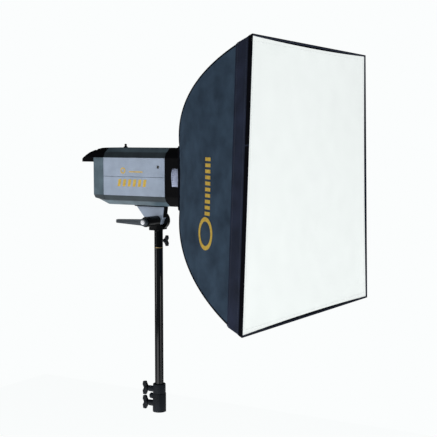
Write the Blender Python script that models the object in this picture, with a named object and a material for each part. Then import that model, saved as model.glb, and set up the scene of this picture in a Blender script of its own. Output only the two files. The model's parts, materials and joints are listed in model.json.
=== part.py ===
"""A studio monolight strobe on a stand column, with a square softbox.

Blender 4.5, metres, +Z up. The light shines along +X. The origin is the centre of the
foot of the column, where the clamp coupler drops over the tube of a light stand.
Every named object is one physical piece; an object that moves has its origin on its joint.
"""

import math

import bmesh
import bpy
from mathutils import Matrix, Vector

X_AXIS = Vector((1.0, 0.0, 0.0))
Y_AXIS = Vector((0.0, 1.0, 0.0))
Z_AXIS = Vector((0.0, 0.0, 1.0))

# ---- fits ----
GAP = 0.0003
RUNNING = 0.0004
OVERRUN = 0.004
CHAMFER = 0.001

# ---- main heights and sides ----
AXIS_HEIGHT = 0.5845
RIGHT, LEFT = -1, 1

# ---- head: cross-section, seen along the light ----
HEAD_WIDTH = 0.110
HEAD_HEIGHT = 0.140
BRACKET_RISE = 0.038
TILT_HEIGHT = AXIS_HEIGHT - HEAD_HEIGHT / 2 - BRACKET_RISE
SIDE_FLAT = 0.092
SHOULDER_IN = 0.006
SHOULDER_DROP = 0.012
CROWN_IN = 0.023
CASE_WALL = 0.0022
PANEL_THICK = 0.0012

# ---- head: stations along the light ----
CASE_REAR = -0.126
CASE_FRONT = 0.056
COVER_LENGTH = 0.0302
COVER_WALL = 0.0035
COVER_TAPER = 0.012
COVER_TAPER_SHOULDER = 0.35
COVER_TAPER_SIDE = 0.05
WINDOW_STOPS = (0.5, 0.8)
HANDLE_REACH = 0.0355

# ---- carry handle over the rear ----
HANDLE_WALL = 0.005
HANDLE_LOW = 0.035
HANDLE_LIP = 0.0075
HANDLE_CREST = -0.137
HANDLE_BROW = -0.165
HANDLE_STEPS = 6
HANDLE_BAR = 0.010
HANDLE_ARM = 0.015
FINGER_SLOT_WIDTH = HEAD_WIDTH - 2 * HANDLE_ARM

# ---- control panel and what sits on it ----
PANEL_MARGIN = 0.011
PANEL_STEP = 0.002
PANEL_WIDTH = HEAD_WIDTH - 2 * PANEL_MARGIN
PANEL_HEIGHT = SIDE_FLAT - 2 * PANEL_STEP
PANEL_PLATE = 0.002
PANEL_SETBACK = 0.002
DIAL_Y, DIAL_Z = 0.0, 0.016
DIAL_RADIUS = 0.012
DIAL_HEIGHT = 0.015
DIAL_STEM = 0.003
DIAL_STEM_LENGTH = 0.009
DIAL_SKIRT = 0.0025
DIAL_CROWN = 0.78
DIAL_BROW = 0.86
DIAL_WAIST = 0.92
POINTER_HALF = 0.001
POINTER_RISE = 0.0008
POINTER_ROOT = 0.003
POINTER_START = 0.002
POINTER_END = 0.82
POT_RADIUS = 0.008
POT_LENGTH = 0.010
BUTTON_RADIUS = 0.0045
BUTTON_HEIGHT = 0.004
BUTTON_STEM = 0.0065
BUTTON_COLLAR = 0.0012
BUTTON_EDGE = 0.0008
BUTTON_Z = -0.004
BUTTON_YS = {"lamp_button": 0.026, "slave_button": 0.0, "test_button": -0.026}
INLET_Y, INLET_Z = 0.020, -0.027
INLET_WIDTH, INLET_HEIGHT = 0.0245, 0.0165
INLET_DEPTH = 0.0155
INLET_WALL = 0.0015
INLET_FLANGE = 0.0025
INLET_RIM = 0.002
INLET_BACK = 0.002
PIN_PITCH = 0.007
PIN_DROP = 0.0015
PIN_RISE = 0.0025
PIN_HALF_WIDTH, PIN_HALF_HEIGHT = 0.001, 0.002
PIN_SETBACK = 0.0005
SWITCH_Y, SWITCH_Z = -0.010, -0.027
SWITCH_WIDTH, SWITCH_HEIGHT = 0.014, 0.021
SWITCH_DEPTH = 0.014
SWITCH_WALL = 0.0014
SWITCH_RIM = 0.0012
SWITCH_BACK = 0.003
ROCKER_TIP = 0.0035
ROCKER_WAIST = 0.0015
ROCKER_KEEL = 0.003
ROCKER_TAPER = 0.9
ROCKER_CLEARANCE = 0.0006
ROCKER_LEAN = math.radians(9)
FUSE_Y, FUSE_Z = -0.031, -0.027
FUSE_RADIUS = 0.0065
FUSE_HEIGHT = 0.007
FUSE_GROOVE_HALF = 0.0006
FUSE_GROOVE_DEPTH = 0.0015
SYNC_Y, SYNC_Z = -0.031, 0.022
SYNC_BORE = 0.0034
SYNC_FLANGE = 0.003
SYNC_DEPTH = 0.016
READY_Y, READY_Z = 0.031, 0.022
READY_RADIUS = 0.0028
READY_HEIGHT = 0.0035

# ---- light sensor on top ----
SENSOR_X = -0.098
SENSOR_RADIUS = 0.0036
SENSOR_HEIGHT = 0.009
SENSOR_SKIRT = 0.0015

# ---- screws in the side panels ----
SIDE_SCREW_X, SIDE_SCREW_Z = 0.0367, 0.0245
SIDE_SCREW_RADIUS = 0.0036

# ---- front: bezel, lock ring and light source ----
BEZEL_FRONT = 0.0985
RING_REAR = 0.0765
RING_RADIUS = 0.0587
RING_WALL = 0.0087
RING_LEDGE = 0.001
RING_BORE = RING_RADIUS - RING_WALL
BEZEL_BORE = RING_BORE - RING_LEDGE
HUB_CLEARANCE = 0.0005
HUB_WALL = 0.0045
HUB_RADIUS = BEZEL_BORE - HUB_CLEARANCE
HUB_BORE = HUB_RADIUS - HUB_WALL
COVER_PLATE = 0.003
BULKHEAD_X = 0.062
BULKHEAD_THICK = 0.002
TUBE_GLASS_RADIUS = 0.0042
TUBE_CLEARANCE = 0.0088
TUBE_RING_RADIUS = HUB_BORE - TUBE_CLEARANCE - TUBE_GLASS_RADIUS
TUBE_X = 0.086
LAMP_RADIUS = 0.015
LAMP_LENGTH = 0.040
LAMP_PROFILE = ((0.0, 0.75), (0.2, 0.8), (0.45, 1.0), (0.75, 1.0), (0.92, 0.7), (1.0, 0.3))
HOLDER_RADIUS = 0.0125
HOLDER_LENGTH = 0.020
HOLDER_PROUD = 0.006
TUBE_STEPS = 24
TUBE_SIDES = 8
TUBE_LEG = 0.7

# ---- insides of the head ----
CAPACITOR_RADIUS = 0.019
CAPACITOR_LENGTH = 0.075
CAPACITOR_X = -0.085
CAPACITOR_RISE = 0.018
CAPACITOR_APART = 0.002
BOARD_LENGTH = 0.120
BOARD_WIDTH = 0.078
BOARD_THICK = 0.0016
BOARD_DROP = 0.040

# ---- tilt bracket ----
PAD_THICK = 0.0035
PAD_BORDER = 0.006
PAD_OVERHANG = 0.002
LUG_THICK = 0.016
LUG_REAR = -0.060
LUG_FRONT = 0.022
LUG_HEEL = (-0.038, 0.008)
LUG_TOE = (0.018, 0.008)
GUARD_THICK = 0.0025
GUARD_LIP = 0.001
PIVOT_RADIUS = 0.0125
LEVER_CLEARANCE = 0.0005
CHEEK_NEAR_END = -HEAD_WIDTH / 2 - LEVER_CLEARANCE
CHEEK_FAR_END = 0.022
FAR_CHEEK_RADIUS = 0.022
FAR_CHEEK_BEVEL = 0.0035
YOKE_FLOOR = 0.0135
YOKE_DEPTH = 0.0225
YOKE_HALF = 0.0106
YOKE_STEP = 0.030
YOKE_MARGIN = 0.001
WEB_DROP = 0.003
NECK_FLARE = 0.0006
NECK_RISE = 0.002
NECK_FALL = 0.004
BOLT_RADIUS = 0.004
LEVER_BOSS = 0.0090
LEVER_LENGTH = 0.080
LEVER_TIP = 0.0044
LEVER_UNDER = 0.92
LEVER_OVER = 0.80
LEVER_NOSE = 0.002
LEVER_SKIN = 0.0005
LEVER_HUB = 0.011
LEVER_SETBACK = 0.002
LEVER_INNER = CHEEK_NEAR_END - LEVER_SETBACK
LEVER_OUTER = CHEEK_NEAR_END - LEVER_HUB
CAP_RADIUS = 0.0060
CAP_HEIGHT = 0.0026
CAP_PROFILE = ((0.0, 1.0), (0.5, 0.95), (0.85, 0.65), (1.0, 0.25))
BOLT_INSET = 0.003
NUT_RADIUS = 0.0075
NUT_THICK = 0.006

# ---- column ----
COLUMN_RADIUS = 0.0106
COLUMN_WALL = 0.0013
SOCKET_DROP = 0.065
SOCKET_FOOT = TILT_HEIGHT - SOCKET_DROP
RING_BAND = 0.0020
SPIGOT_RADIUS = 0.0079
SPIGOT_LENGTH = 0.034
SPIGOT_TAIL = 0.030
BAND_PROUD = 0.0003
SOCKET_SCREW_RISE = 0.0165
SOCKET_SCREW_RIM = 0.0290
SOCKET_SCREW_SIZE = 0.78

# ---- clamp coupler at the foot ----
COUPLER_HEIGHT = 0.0700
COUPLER_STEP = 0.0463
UPPER_WALL = 0.0048
LOWER_WALL = 0.0040
STAND_TUBE_RADIUS = 0.0127
COUPLER_UPPER = COLUMN_RADIUS + RUNNING + UPPER_WALL
COUPLER_LOWER = STAND_TUBE_RADIUS + LOWER_WALL
STAND_TUBE_DEPTH = 0.044
COLUMN_OVERLAP = 0.0235
UPPER_KNOB_DROP = 0.016
KNOB_LEVELS = {"upper_knob": COUPLER_HEIGHT - UPPER_KNOB_DROP, "lower_knob": 0.0178}
KNOB_RIM = 0.049
COUPLER_SCREW_LEVEL = 0.0365
COUPLER_SCREW_HEAD = 0.003
COUPLER_SCREW_SIZE = 0.60
BOSS_RADIUS = 0.0075
BOSS_END = 0.030
SCREW_BOSS_RADIUS = 0.0070
SCREW_BOSS_END = 0.0255

# ---- wing screws: the same moulded knob in two sizes ----
WING_SPAN = 0.0170
WING_THICK = 0.0130
WING_SLIM = 0.0038
WING_COLLAR = 0.003
WING_SHOULDER = 1.85
WING_ROOT = 0.42
WING_TIP = 0.96
WING_LEAN = 0.35
WING_EDGE = 0.12
WING_DIP = 0.3
WING_FACE = 0.45
WING_WEB = 0.9

# ---- softbox ----
FABRIC = 0.0012
FABRIC_REAR = (0.112, 0.074)
FABRIC_BULGE = (0.182, 0.205)
FABRIC_FRONT = (0.387, 0.2875)
LIP_REAR_HALF = 0.289
LIP_FRONT_HALF = 0.300
LIP_FRONT = 0.420
LIP_THICK = 0.0016
DIFFUSER_GAP = 0.0012
DIFFUSER_SETBACK = 0.0025
FRAME_TWIST = 0.0085
FRAME_LEAN = 0.0025
FRAME_SAG = 0.004
ROD_RADIUS = 0.0022
ROD_INSET = 0.0055
ROD_POINTS = 13
PANEL_STATIONS = 13
SPEED_RING_REAR = 0.1045
SPEED_RING_THICK = 0.006
SPEED_RING_RADIUS = 0.058
HUB_REAR = 0.080
SOCKET_BOSS_RADIUS = 0.0038
SOCKET_BOSS_LENGTH = 0.017
ARM_REACH = 0.090
ARM_HALF = 0.008
ARM_ROOT = 0.006

ROUND = 32
MIDDLE_ROUND = 24
SMALL_ROUND = 16
BAR_ROUND = 8

FINISHES = {
    "slate_paint": ("4E5D67", 0.45, 0.10),
    "silver_paint": ("97A4B5", 0.38, 0.55),
    "black_plastic": ("0B0C0F", 0.45, 0.0),
    "panel_black": ("15181C", 0.5, 0.0),
    "button_grey": ("8C9299", 0.45, 0.0),
    "red_plastic": ("B3201C", 0.35, 0.0),
    "aluminium": ("B9C0CC", 0.3, 1.0),
    "steel": ("A8ABB0", 0.3, 1.0),
    "bright_cap": ("F2F3F7", 0.2, 0.0),
    "black_metal": ("0A0C10", 0.25, 0.3),
    "lever_grey": ("5A6168", 0.45, 0.1),
    "brass": ("B08A55", 0.3, 1.0),
    "glass": ("E6EEF0", 0.05, 0.0),
    "ceramic": ("E6E3DA", 0.4, 0.0),
    "capacitor_sleeve": ("20324F", 0.4, 0.0),
    "board_green": ("1E5A36", 0.5, 0.0),
    "black_fabric": ("36424F", 0.8, 0.0),
    "lip_fabric": ("252A38", 0.85, 0.0),
    "white_fabric": ("F3F7F6", 0.9, 0.0),
}


# ---------------------------------------------------------------- helpers

def linear(channel):
    """One sRGB channel as the linear value that a shader socket takes."""
    return channel / 12.92 if channel <= 0.04045 else ((channel + 0.055) / 1.055) ** 2.4


def finish(name):
    """The Principled material of a finish, made once."""
    found = bpy.data.materials.get(name)
    if found:
        return found
    code, roughness, metallic = FINISHES[name]
    colour = [linear(int(code[i:i + 2], 16) / 255) for i in (0, 2, 4)]
    made = bpy.data.materials.new(name)
    made.use_nodes = True
    shader = made.node_tree.nodes["Principled BSDF"]
    shader.inputs["Base Color"].default_value = (*colour, 1.0)
    shader.inputs["Roughness"].default_value = roughness
    shader.inputs["Metallic"].default_value = metallic
    return made


def piece(name, bm, surface, origin=(0.0, 0.0, 0.0)):
    """Turns a bmesh, drawn in the row frame, into a named object whose origin is at the given point."""
    bmesh.ops.remove_doubles(bm, verts=bm.verts, dist=1e-6)
    bmesh.ops.recalc_face_normals(bm, faces=bm.faces)
    bmesh.ops.translate(bm, verts=bm.verts, vec=-Vector(origin))
    mesh = bpy.data.meshes.new(name)
    bm.to_mesh(mesh)
    bm.free()
    mesh.shade_smooth()
    mesh.set_sharp_from_angle(angle=math.radians(35))
    made = bpy.data.objects.new(name, mesh)
    made.location = origin
    bpy.context.scene.collection.objects.link(made)
    if surface:
        made.data.materials.append(finish(surface))
    return made


def cutter(name, bm):
    """A solid that only shapes others."""
    made = piece(name, bm, None)
    made.hide_render = True
    made.display_type = "WIRE"
    return made


def combine(target, tool, operation):
    """Puts a Boolean on target; tool is a cutter or a shape to add."""
    step = target.modifiers.new(tool.name, "BOOLEAN")
    step.operation = operation
    step.solver = "EXACT"
    step.object = tool


def across(axis):
    """Two unit vectors that make a right-handed set with axis."""
    side = Y_AXIS if abs(axis.z) > 0.9 else Z_AXIS
    first = side.cross(axis).normalized()
    return first, axis.cross(first).normalized()


def loft(rings, closed=False):
    """Skins rings of equal length in order. It caps both ends, or joins the last ring to the first."""
    bm = bmesh.new()
    rows = [[bm.verts.new(point) for point in ring] for ring in rings]
    if closed:
        rows.append(rows[0])
    for lower, upper in zip(rows, rows[1:]):
        for i in range(len(lower)):
            j = (i + 1) % len(lower)
            bm.faces.new((lower[i], lower[j], upper[j], upper[i]))
    if not closed:
        bm.faces.new(rows[0][::-1])
        bm.faces.new(rows[-1])
    return bm


def circle(centre, axis, radius, count):
    """A ring of points about axis."""
    first, second = across(axis)
    turns = (2 * math.pi * (i + 0.5) / count for i in range(count))
    return [Vector(centre) + (first * math.cos(t) + second * math.sin(t)) * radius for t in turns]


def turned(centre, axis, profile, count=ROUND, closed=False):
    """A body of revolution: profile is (distance along axis, radius) from one end to the other."""
    axis = Vector(axis).normalized()
    rings = [circle(Vector(centre) + axis * along, axis, radius, count) for along, radius in profile]
    return loft(rings, closed)


def tube(centre, axis, start, end, radius, bore, count=ROUND):
    """A plain tube."""
    return turned(centre, axis, [(start, radius), (end, radius), (end, bore), (start, bore)], count, True)


def prism(outline, place, start, end):
    """Extrudes a flat outline: place(u, v, w) puts each point, with w from start to end."""
    return loft([[Vector(place(u, v, w)) for u, v in outline] for w in (start, end)])


def along_x(y, z, x):
    return (x, y, z)


def along_y(x, z, y):
    return (x, y, z)


def block(low, high):
    """A box between two corners."""
    (x0, y0, z0), (x1, y1, z1) = low, high
    return prism([(y0, z0), (y1, z0), (y1, z1), (y0, z1)], along_x, x0, x1)


def arc(centre, radius, start, end, count):
    """Points on a circle in a plane, angles in degrees."""
    angles = [math.radians(start + (end - start) * i / count) for i in range(count + 1)]
    return [(centre[0] + radius * math.cos(a), centre[1] + radius * math.sin(a)) for a in angles]


# ---------------------------------------------------------------- head

def upper_corner(inset=0.0):
    """The right-hand upper quarter of the head's section as (y, z), from the flat side to the crown."""
    half_width, half_height = HEAD_WIDTH / 2 - inset, HEAD_HEIGHT / 2 - inset
    return [
        (half_width, SIDE_FLAT / 2),
        (half_width - SHOULDER_IN, half_height - SHOULDER_DROP),
        (half_width - CROWN_IN, half_height),
    ]


def head_section(inset=0.0):
    """The whole head section, twelve corners, anticlockwise."""
    quarter = upper_corner(inset)
    upper = quarter + [(-y, z) for y, z in reversed(quarter)]
    return upper + [(-y, -z) for y, z in upper]


def head_ring(x, inset=0.0):
    return [Vector((x, y, AXIS_HEIGHT + z)) for y, z in head_section(inset)]


def make_casing():
    """Two shells of the case, which meet at mid height and are rebated for the side panels."""
    rebate = PANEL_THICK + GAP
    outer = upper_corner()
    inner = upper_corner(CASE_WALL + rebate)
    wall_y = HEAD_WIDTH / 2 - rebate
    right = [(wall_y, GAP / 2), (wall_y, SIDE_FLAT / 2 + GAP), (outer[0][0], SIDE_FLAT / 2 + GAP)] + outer[1:]
    inside = [(inner[0][0], GAP / 2)] + inner
    half = right + [(-y, z) for y, z in reversed(right)] + [(-y, z) for y, z in inside]
    half += list(reversed(inside))
    for name, up in (("casing_upper", 1), ("casing_lower", -1)):
        outline = [(y, AXIS_HEIGHT + up * z) for y, z in half]
        piece(name, prism(outline, along_x, CASE_REAR, CASE_FRONT), "slate_paint")


def make_side_panels():
    """Four thin silver plates in the rebates of the case, two to a side."""
    inner, outer = HEAD_WIDTH / 2 - PANEL_THICK, HEAD_WIDTH / 2
    for side_name, side in (("right", RIGHT), ("left", LEFT)):
        hole = cutter(
            f"screw_hole_{side_name}",
            turned(
                (SIDE_SCREW_X, 0, AXIS_HEIGHT + SIDE_SCREW_Z), Y_AXIS * side,
                [(inner - OVERRUN, SIDE_SCREW_RADIUS + GAP), (outer + OVERRUN, SIDE_SCREW_RADIUS + GAP)],
                SMALL_ROUND,
            ),
        )
        for level_name, low, high in (
            ("upper", GAP, SIDE_FLAT / 2),
            ("lower", -SIDE_FLAT / 2, -GAP),
        ):
            plate = piece(
                f"side_panel_{side_name}_{level_name}",
                block(
                    (CASE_REAR, side * inner, AXIS_HEIGHT + low),
                    (CASE_FRONT, side * outer, AXIS_HEIGHT + high),
                ),
                "silver_paint",
            )
            if level_name == "upper":
                combine(plate, hole, "DIFFERENCE")
        piece(
            f"side_screw_{side_name}",
            turned(
                (SIDE_SCREW_X, 0, AXIS_HEIGHT + SIDE_SCREW_Z), Y_AXIS * side,
                [(inner, SIDE_SCREW_RADIUS), (outer - GAP, SIDE_SCREW_RADIUS)], SMALL_ROUND,
            ),
            "black_metal",
        )


def cover_ring(x, inset, drop):
    """A ring of the rear cover. Its top stays under the handle, and drop lifts its bottom corners."""
    half_width, half_height = HEAD_WIDTH / 2 - inset, HEAD_HEIGHT / 2 - inset
    flat = SIDE_FLAT / 2
    shelf, shoulder, crown = upper_corner(HANDLE_WALL + GAP + inset)
    right = [(half_width, flat - inset), (shelf[0], flat - inset), shoulder, crown]
    low = [
        (half_width - CROWN_IN, drop - half_height),
        (half_width - SHOULDER_IN, drop * COVER_TAPER_SHOULDER - half_height + SHOULDER_DROP),
        (half_width, drop * COVER_TAPER_SIDE - flat),
    ]
    points = right + [(-y, z) for y, z in reversed(right)] + [(-y, z) for y, z in reversed(low)] + low
    return [Vector((x, y, AXIS_HEIGHT + z)) for y, z in points]


def window_ring(x):
    """The control panel's window with as many corners as the cover's rings, in the same order."""
    half_width, half_height = PANEL_WIDTH / 2, PANEL_HEIGHT / 2
    near, far = WINDOW_STOPS
    right = [(half_width, half_height * near), (half_width, half_height)]
    right += [(half_width * far, half_height), (half_width * near, half_height)]
    low = [(half_width * near, -half_height), (half_width, -half_height), (half_width, -half_height * near)]
    points = right + [(-y, z) for y, z in reversed(right)] + [(-y, z) for y, z in reversed(low)] + low
    return [Vector((x, y, AXIS_HEIGHT + z)) for y, z in points]


def make_rear_cover():
    """The moulded cover behind the case: a shell that narrows towards its back, with a window there."""
    front, back = CASE_REAR - GAP, CASE_REAR - GAP - COVER_LENGTH
    wall = back + COVER_WALL
    piece(
        "rear_cover",
        loft(
            [
                cover_ring(front, 0.0, 0.0), cover_ring(back, 0.0, COVER_TAPER),
                window_ring(back), window_ring(wall),
                cover_ring(wall, COVER_WALL, COVER_TAPER), cover_ring(front, COVER_WALL, 0.0),
            ],
            closed=True,
        ),
        "slate_paint",
    )


def make_handle():
    """The carry handle: a visor over the rear panel with a slot for the fingers."""
    front = CASE_REAR - GAP
    cover_back = front - COVER_LENGTH
    back = cover_back - HANDLE_REACH
    top, flat = HEAD_HEIGHT / 2, SIDE_FLAT / 2 + GAP
    lip_top = HANDLE_LOW + HANDLE_LIP
    brow = [
        (
            HANDLE_CREST * (1 - t) ** 2 + HANDLE_BROW * 2 * t * (1 - t) + back * t**2,
            top * (1 - t**2) + lip_top * t**2,
        )
        for t in (i / HANDLE_STEPS for i in range(HANDLE_STEPS + 1))
    ]
    profile = [(front, flat), (front, top)] + brow
    profile += [(back, HANDLE_LOW), (cover_back - GAP, HANDLE_LOW), (cover_back - GAP, flat)]
    handle = piece(
        "rear_handle",
        prism([(x, AXIS_HEIGHT + z) for x, z in profile], along_y, -HEAD_WIDTH / 2, HEAD_WIDTH / 2),
        "black_plastic",
    )
    section = cutter("handle_section", loft([head_ring(back - OVERRUN), head_ring(front + OVERRUN)]))
    combine(handle, section, "INTERSECT")
    hollow = cutter(
        "handle_hollow",
        loft([head_ring(cover_back - GAP, HANDLE_WALL), head_ring(front + OVERRUN, HANDLE_WALL)]),
    )
    combine(handle, hollow, "DIFFERENCE")
    slot = cutter(
        "finger_slot",
        block(
            (back + HANDLE_BAR, -FINGER_SLOT_WIDTH / 2, AXIS_HEIGHT),
            (cover_back - GAP, FINGER_SLOT_WIDTH / 2, AXIS_HEIGHT + top + OVERRUN),
        ),
    )
    combine(handle, slot, "DIFFERENCE")


def panel_face():
    """The x of the control panel's outer face."""
    return CASE_REAR - GAP - COVER_LENGTH + PANEL_SETBACK


def round_cutter(name, y, z, radius):
    """A cutter for a round hole in the control panel."""
    face = panel_face()
    span = [(face - OVERRUN, radius), (face + PANEL_PLATE + OVERRUN, radius)]
    return cutter(name, turned((0, y, AXIS_HEIGHT + z), X_AXIS, span, SMALL_ROUND))


def make_control_panel():
    """The plate in the cover's window, with a hole for each control."""
    face = panel_face()
    half_width, half_height = PANEL_WIDTH / 2 - GAP, PANEL_HEIGHT / 2 - GAP
    panel = piece(
        "control_panel",
        block(
            (face, -half_width, AXIS_HEIGHT - half_height),
            (face + PANEL_PLATE, half_width, AXIS_HEIGHT + half_height),
        ),
        "panel_black",
    )
    holes = [round_cutter("dial_hole", DIAL_Y, DIAL_Z, DIAL_STEM + RUNNING)]
    holes += [
        round_cutter(name + "_hole", y, BUTTON_Z, BUTTON_RADIUS + RUNNING) for name, y in BUTTON_YS.items()
    ]
    holes.append(round_cutter("sync_hole", SYNC_Y, SYNC_Z, SYNC_BORE + INLET_WALL + GAP))
    for name, y, z, width, height in (
        ("inlet_hole", INLET_Y, INLET_Z, INLET_WIDTH + 2 * INLET_WALL, INLET_HEIGHT + 2 * INLET_WALL),
        ("switch_hole", SWITCH_Y, SWITCH_Z, SWITCH_WIDTH, SWITCH_HEIGHT),
    ):
        half_y, half_z = width / 2 + GAP, height / 2 + GAP
        holes.append(
            cutter(
                name,
                block(
                    (face - OVERRUN, y - half_y, AXIS_HEIGHT + z - half_z),
                    (face + PANEL_PLATE + OVERRUN, y + half_y, AXIS_HEIGHT + z + half_z),
                ),
            )
        )
    for hole in holes:
        combine(panel, hole, "DIFFERENCE")


def make_dial():
    """The power dial with its stem, and the potentiometer that the stem turns in."""
    face = panel_face()
    centre = (face - GAP, DIAL_Y, AXIS_HEIGHT + DIAL_Z)
    back = PANEL_PLATE + 2 * GAP
    profile = [
        (-DIAL_HEIGHT, DIAL_RADIUS * DIAL_CROWN), (-DIAL_HEIGHT + CHAMFER, DIAL_RADIUS * DIAL_BROW),
        (-DIAL_SKIRT - CHAMFER / 2, DIAL_RADIUS * DIAL_WAIST), (-DIAL_SKIRT, DIAL_RADIUS), (0.0, DIAL_RADIUS),
        (0.0, DIAL_STEM), (back + DIAL_STEM_LENGTH, DIAL_STEM),
    ]
    dial = piece("power_dial", turned(centre, X_AXIS, profile), "black_plastic", centre)
    top = centre[0] - DIAL_HEIGHT
    pointer_end = centre[2] + DIAL_RADIUS * POINTER_END
    pointer = cutter(
        "dial_pointer",
        block(
            (top - POINTER_RISE, DIAL_Y - POINTER_HALF, centre[2] + POINTER_START),
            (top + POINTER_ROOT, DIAL_Y + POINTER_HALF, pointer_end),
        ),
    )
    combine(dial, pointer, "UNION")
    start = back + GAP
    piece(
        "potentiometer",
        tube(centre, X_AXIS, start, start + POT_LENGTH, POT_RADIUS, DIAL_STEM + RUNNING, SMALL_ROUND),
        "steel",
    )


def make_buttons():
    """Three push buttons, each with a stem through the panel and a collar that keeps it in."""
    face = panel_face()
    for name, y in BUTTON_YS.items():
        centre = (face, y, AXIS_HEIGHT + BUTTON_Z)
        profile = [
            (-BUTTON_HEIGHT, BUTTON_RADIUS - BUTTON_EDGE), (-BUTTON_HEIGHT + BUTTON_EDGE, BUTTON_RADIUS),
            (PANEL_PLATE + GAP, BUTTON_RADIUS), (PANEL_PLATE + GAP, BUTTON_RADIUS + BUTTON_COLLAR),
            (BUTTON_STEM, BUTTON_RADIUS + BUTTON_COLLAR),
        ]
        surface = "red_plastic" if name == "test_button" else "button_grey"
        piece(name, turned(centre, X_AXIS, profile, SMALL_ROUND), surface, centre)


def make_mains_inlet():
    """The appliance inlet: a flanged cup with three pins in it."""
    face = panel_face()
    half_y, half_z = INLET_WIDTH / 2 + INLET_WALL, INLET_HEIGHT / 2 + INLET_WALL
    middle = Vector((face, INLET_Y, AXIS_HEIGHT + INLET_Z))

    def box(x0, x1, hy, hz, y=0.0, z=0.0):
        low = middle + Vector((x0, y - hy, z - hz))
        high = middle + Vector((x1, y + hy, z + hz))
        return block(low, high)

    body = piece("mains_inlet", box(-INLET_FLANGE, INLET_DEPTH + INLET_BACK, half_y, half_z), "black_plastic")
    flange = cutter("inlet_flange", box(-INLET_FLANGE, -GAP, half_y + INLET_RIM, half_z + INLET_RIM))
    cavity = cutter(
        "inlet_cavity", box(-INLET_FLANGE - OVERRUN, INLET_DEPTH, INLET_WIDTH / 2, INLET_HEIGHT / 2)
    )
    combine(body, flange, "UNION")
    combine(body, cavity, "DIFFERENCE")
    pins = {
        "pin_line": (PIN_PITCH, -PIN_DROP), "pin_neutral": (-PIN_PITCH, -PIN_DROP), "pin_earth": (0, PIN_RISE),
    }
    root = INLET_DEPTH + INLET_BACK / 2
    for name, (y, z) in pins.items():
        pin = cutter(name, box(PIN_SETBACK, root, PIN_HALF_WIDTH, PIN_HALF_HEIGHT, y, z))
        combine(body, pin, "UNION")


def make_switch():
    """The mains switch: a rocker on a cross pin, in a housing behind the panel."""
    face = panel_face()
    middle = Vector((face, SWITCH_Y, AXIS_HEIGHT + SWITCH_Z))
    half_y, half_z = SWITCH_WIDTH / 2, SWITCH_HEIGHT / 2
    housing = piece(
        "switch_housing",
        block(
            middle + Vector((-SWITCH_RIM, -half_y, -half_z)),
            middle + Vector((SWITCH_DEPTH, half_y, half_z)),
        ),
        "black_plastic",
    )
    wall = SWITCH_WALL
    well = cutter(
        "switch_well",
        block(
            middle + Vector((-OVERRUN, wall - half_y, wall - half_z)),
            middle + Vector((SWITCH_DEPTH - SWITCH_BACK, half_y - wall, half_z - wall)),
        ),
    )
    combine(housing, well, "DIFFERENCE")
    reach, width = half_z - wall - ROCKER_CLEARANCE, half_y - wall - RUNNING
    keel = reach * ROCKER_TAPER
    profile = [(-ROCKER_TIP, reach), (-ROCKER_WAIST, 0.0), (-ROCKER_TIP, -reach)]
    profile += [(ROCKER_KEEL, -keel), (ROCKER_KEEL, keel)]
    lean = Matrix.Rotation(ROCKER_LEAN, 2)
    outline = [lean @ Vector(point) for point in profile]
    piece(
        "mains_rocker",
        prism([(middle.x + u, middle.z + v) for u, v in outline], along_y, middle.y - width, middle.y + width),
        "red_plastic", middle,
    )


def make_small_fittings():
    """Fuse cap, sync socket, ready lamp and the light sensor."""
    face = panel_face()
    fuse = (face - GAP, FUSE_Y, AXIS_HEIGHT + FUSE_Z)
    profile = [(-FUSE_HEIGHT, FUSE_RADIUS - CHAMFER), (-FUSE_HEIGHT + CHAMFER, FUSE_RADIUS), (0.0, FUSE_RADIUS)]
    cap = piece("fuse_cap", turned(fuse, X_AXIS, profile, SMALL_ROUND), "black_plastic")
    top, reach = fuse[0] - FUSE_HEIGHT, FUSE_RADIUS + OVERRUN
    groove = cutter(
        "fuse_groove",
        block(
            (top - OVERRUN, FUSE_Y - reach, fuse[2] - FUSE_GROOVE_HALF),
            (top + FUSE_GROOVE_DEPTH, FUSE_Y + reach, fuse[2] + FUSE_GROOVE_HALF),
        ),
    )
    combine(cap, groove, "DIFFERENCE")
    sync = (face, SYNC_Y, AXIS_HEIGHT + SYNC_Z)
    outer, body = SYNC_BORE + SYNC_FLANGE, SYNC_BORE + INLET_WALL
    profile = [
        (-SYNC_FLANGE, outer), (-GAP, outer), (-GAP, body),
        (SYNC_DEPTH, body), (SYNC_DEPTH, SYNC_BORE), (-SYNC_FLANGE, SYNC_BORE),
    ]
    piece("sync_socket", turned(sync, X_AXIS, profile, SMALL_ROUND, True), "steel")
    ready = (face - GAP, READY_Y, AXIS_HEIGHT + READY_Z)
    dome = ((1.0, 0.5), (0.8, 0.9), (0.0, 1.0))
    profile = [(-READY_HEIGHT * share, READY_RADIUS * size) for share, size in dome]
    piece("ready_lamp", turned(ready, X_AXIS, profile, SMALL_ROUND), "red_plastic")
    crown = (SENSOR_X, 0, AXIS_HEIGHT + HEAD_HEIGHT / 2 + GAP)
    profile = [
        (0.0, SENSOR_RADIUS * 1.5), (SENSOR_SKIRT, SENSOR_RADIUS * 1.5), (SENSOR_SKIRT + GAP, SENSOR_RADIUS),
        (SENSOR_HEIGHT * 0.75, SENSOR_RADIUS), (SENSOR_HEIGHT * 0.93, SENSOR_RADIUS * 0.7),
        (SENSOR_HEIGHT, SENSOR_RADIUS * 0.3),
    ]
    piece("slave_sensor", turned(crown, Z_AXIS, profile, SMALL_ROUND), "black_plastic")


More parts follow.
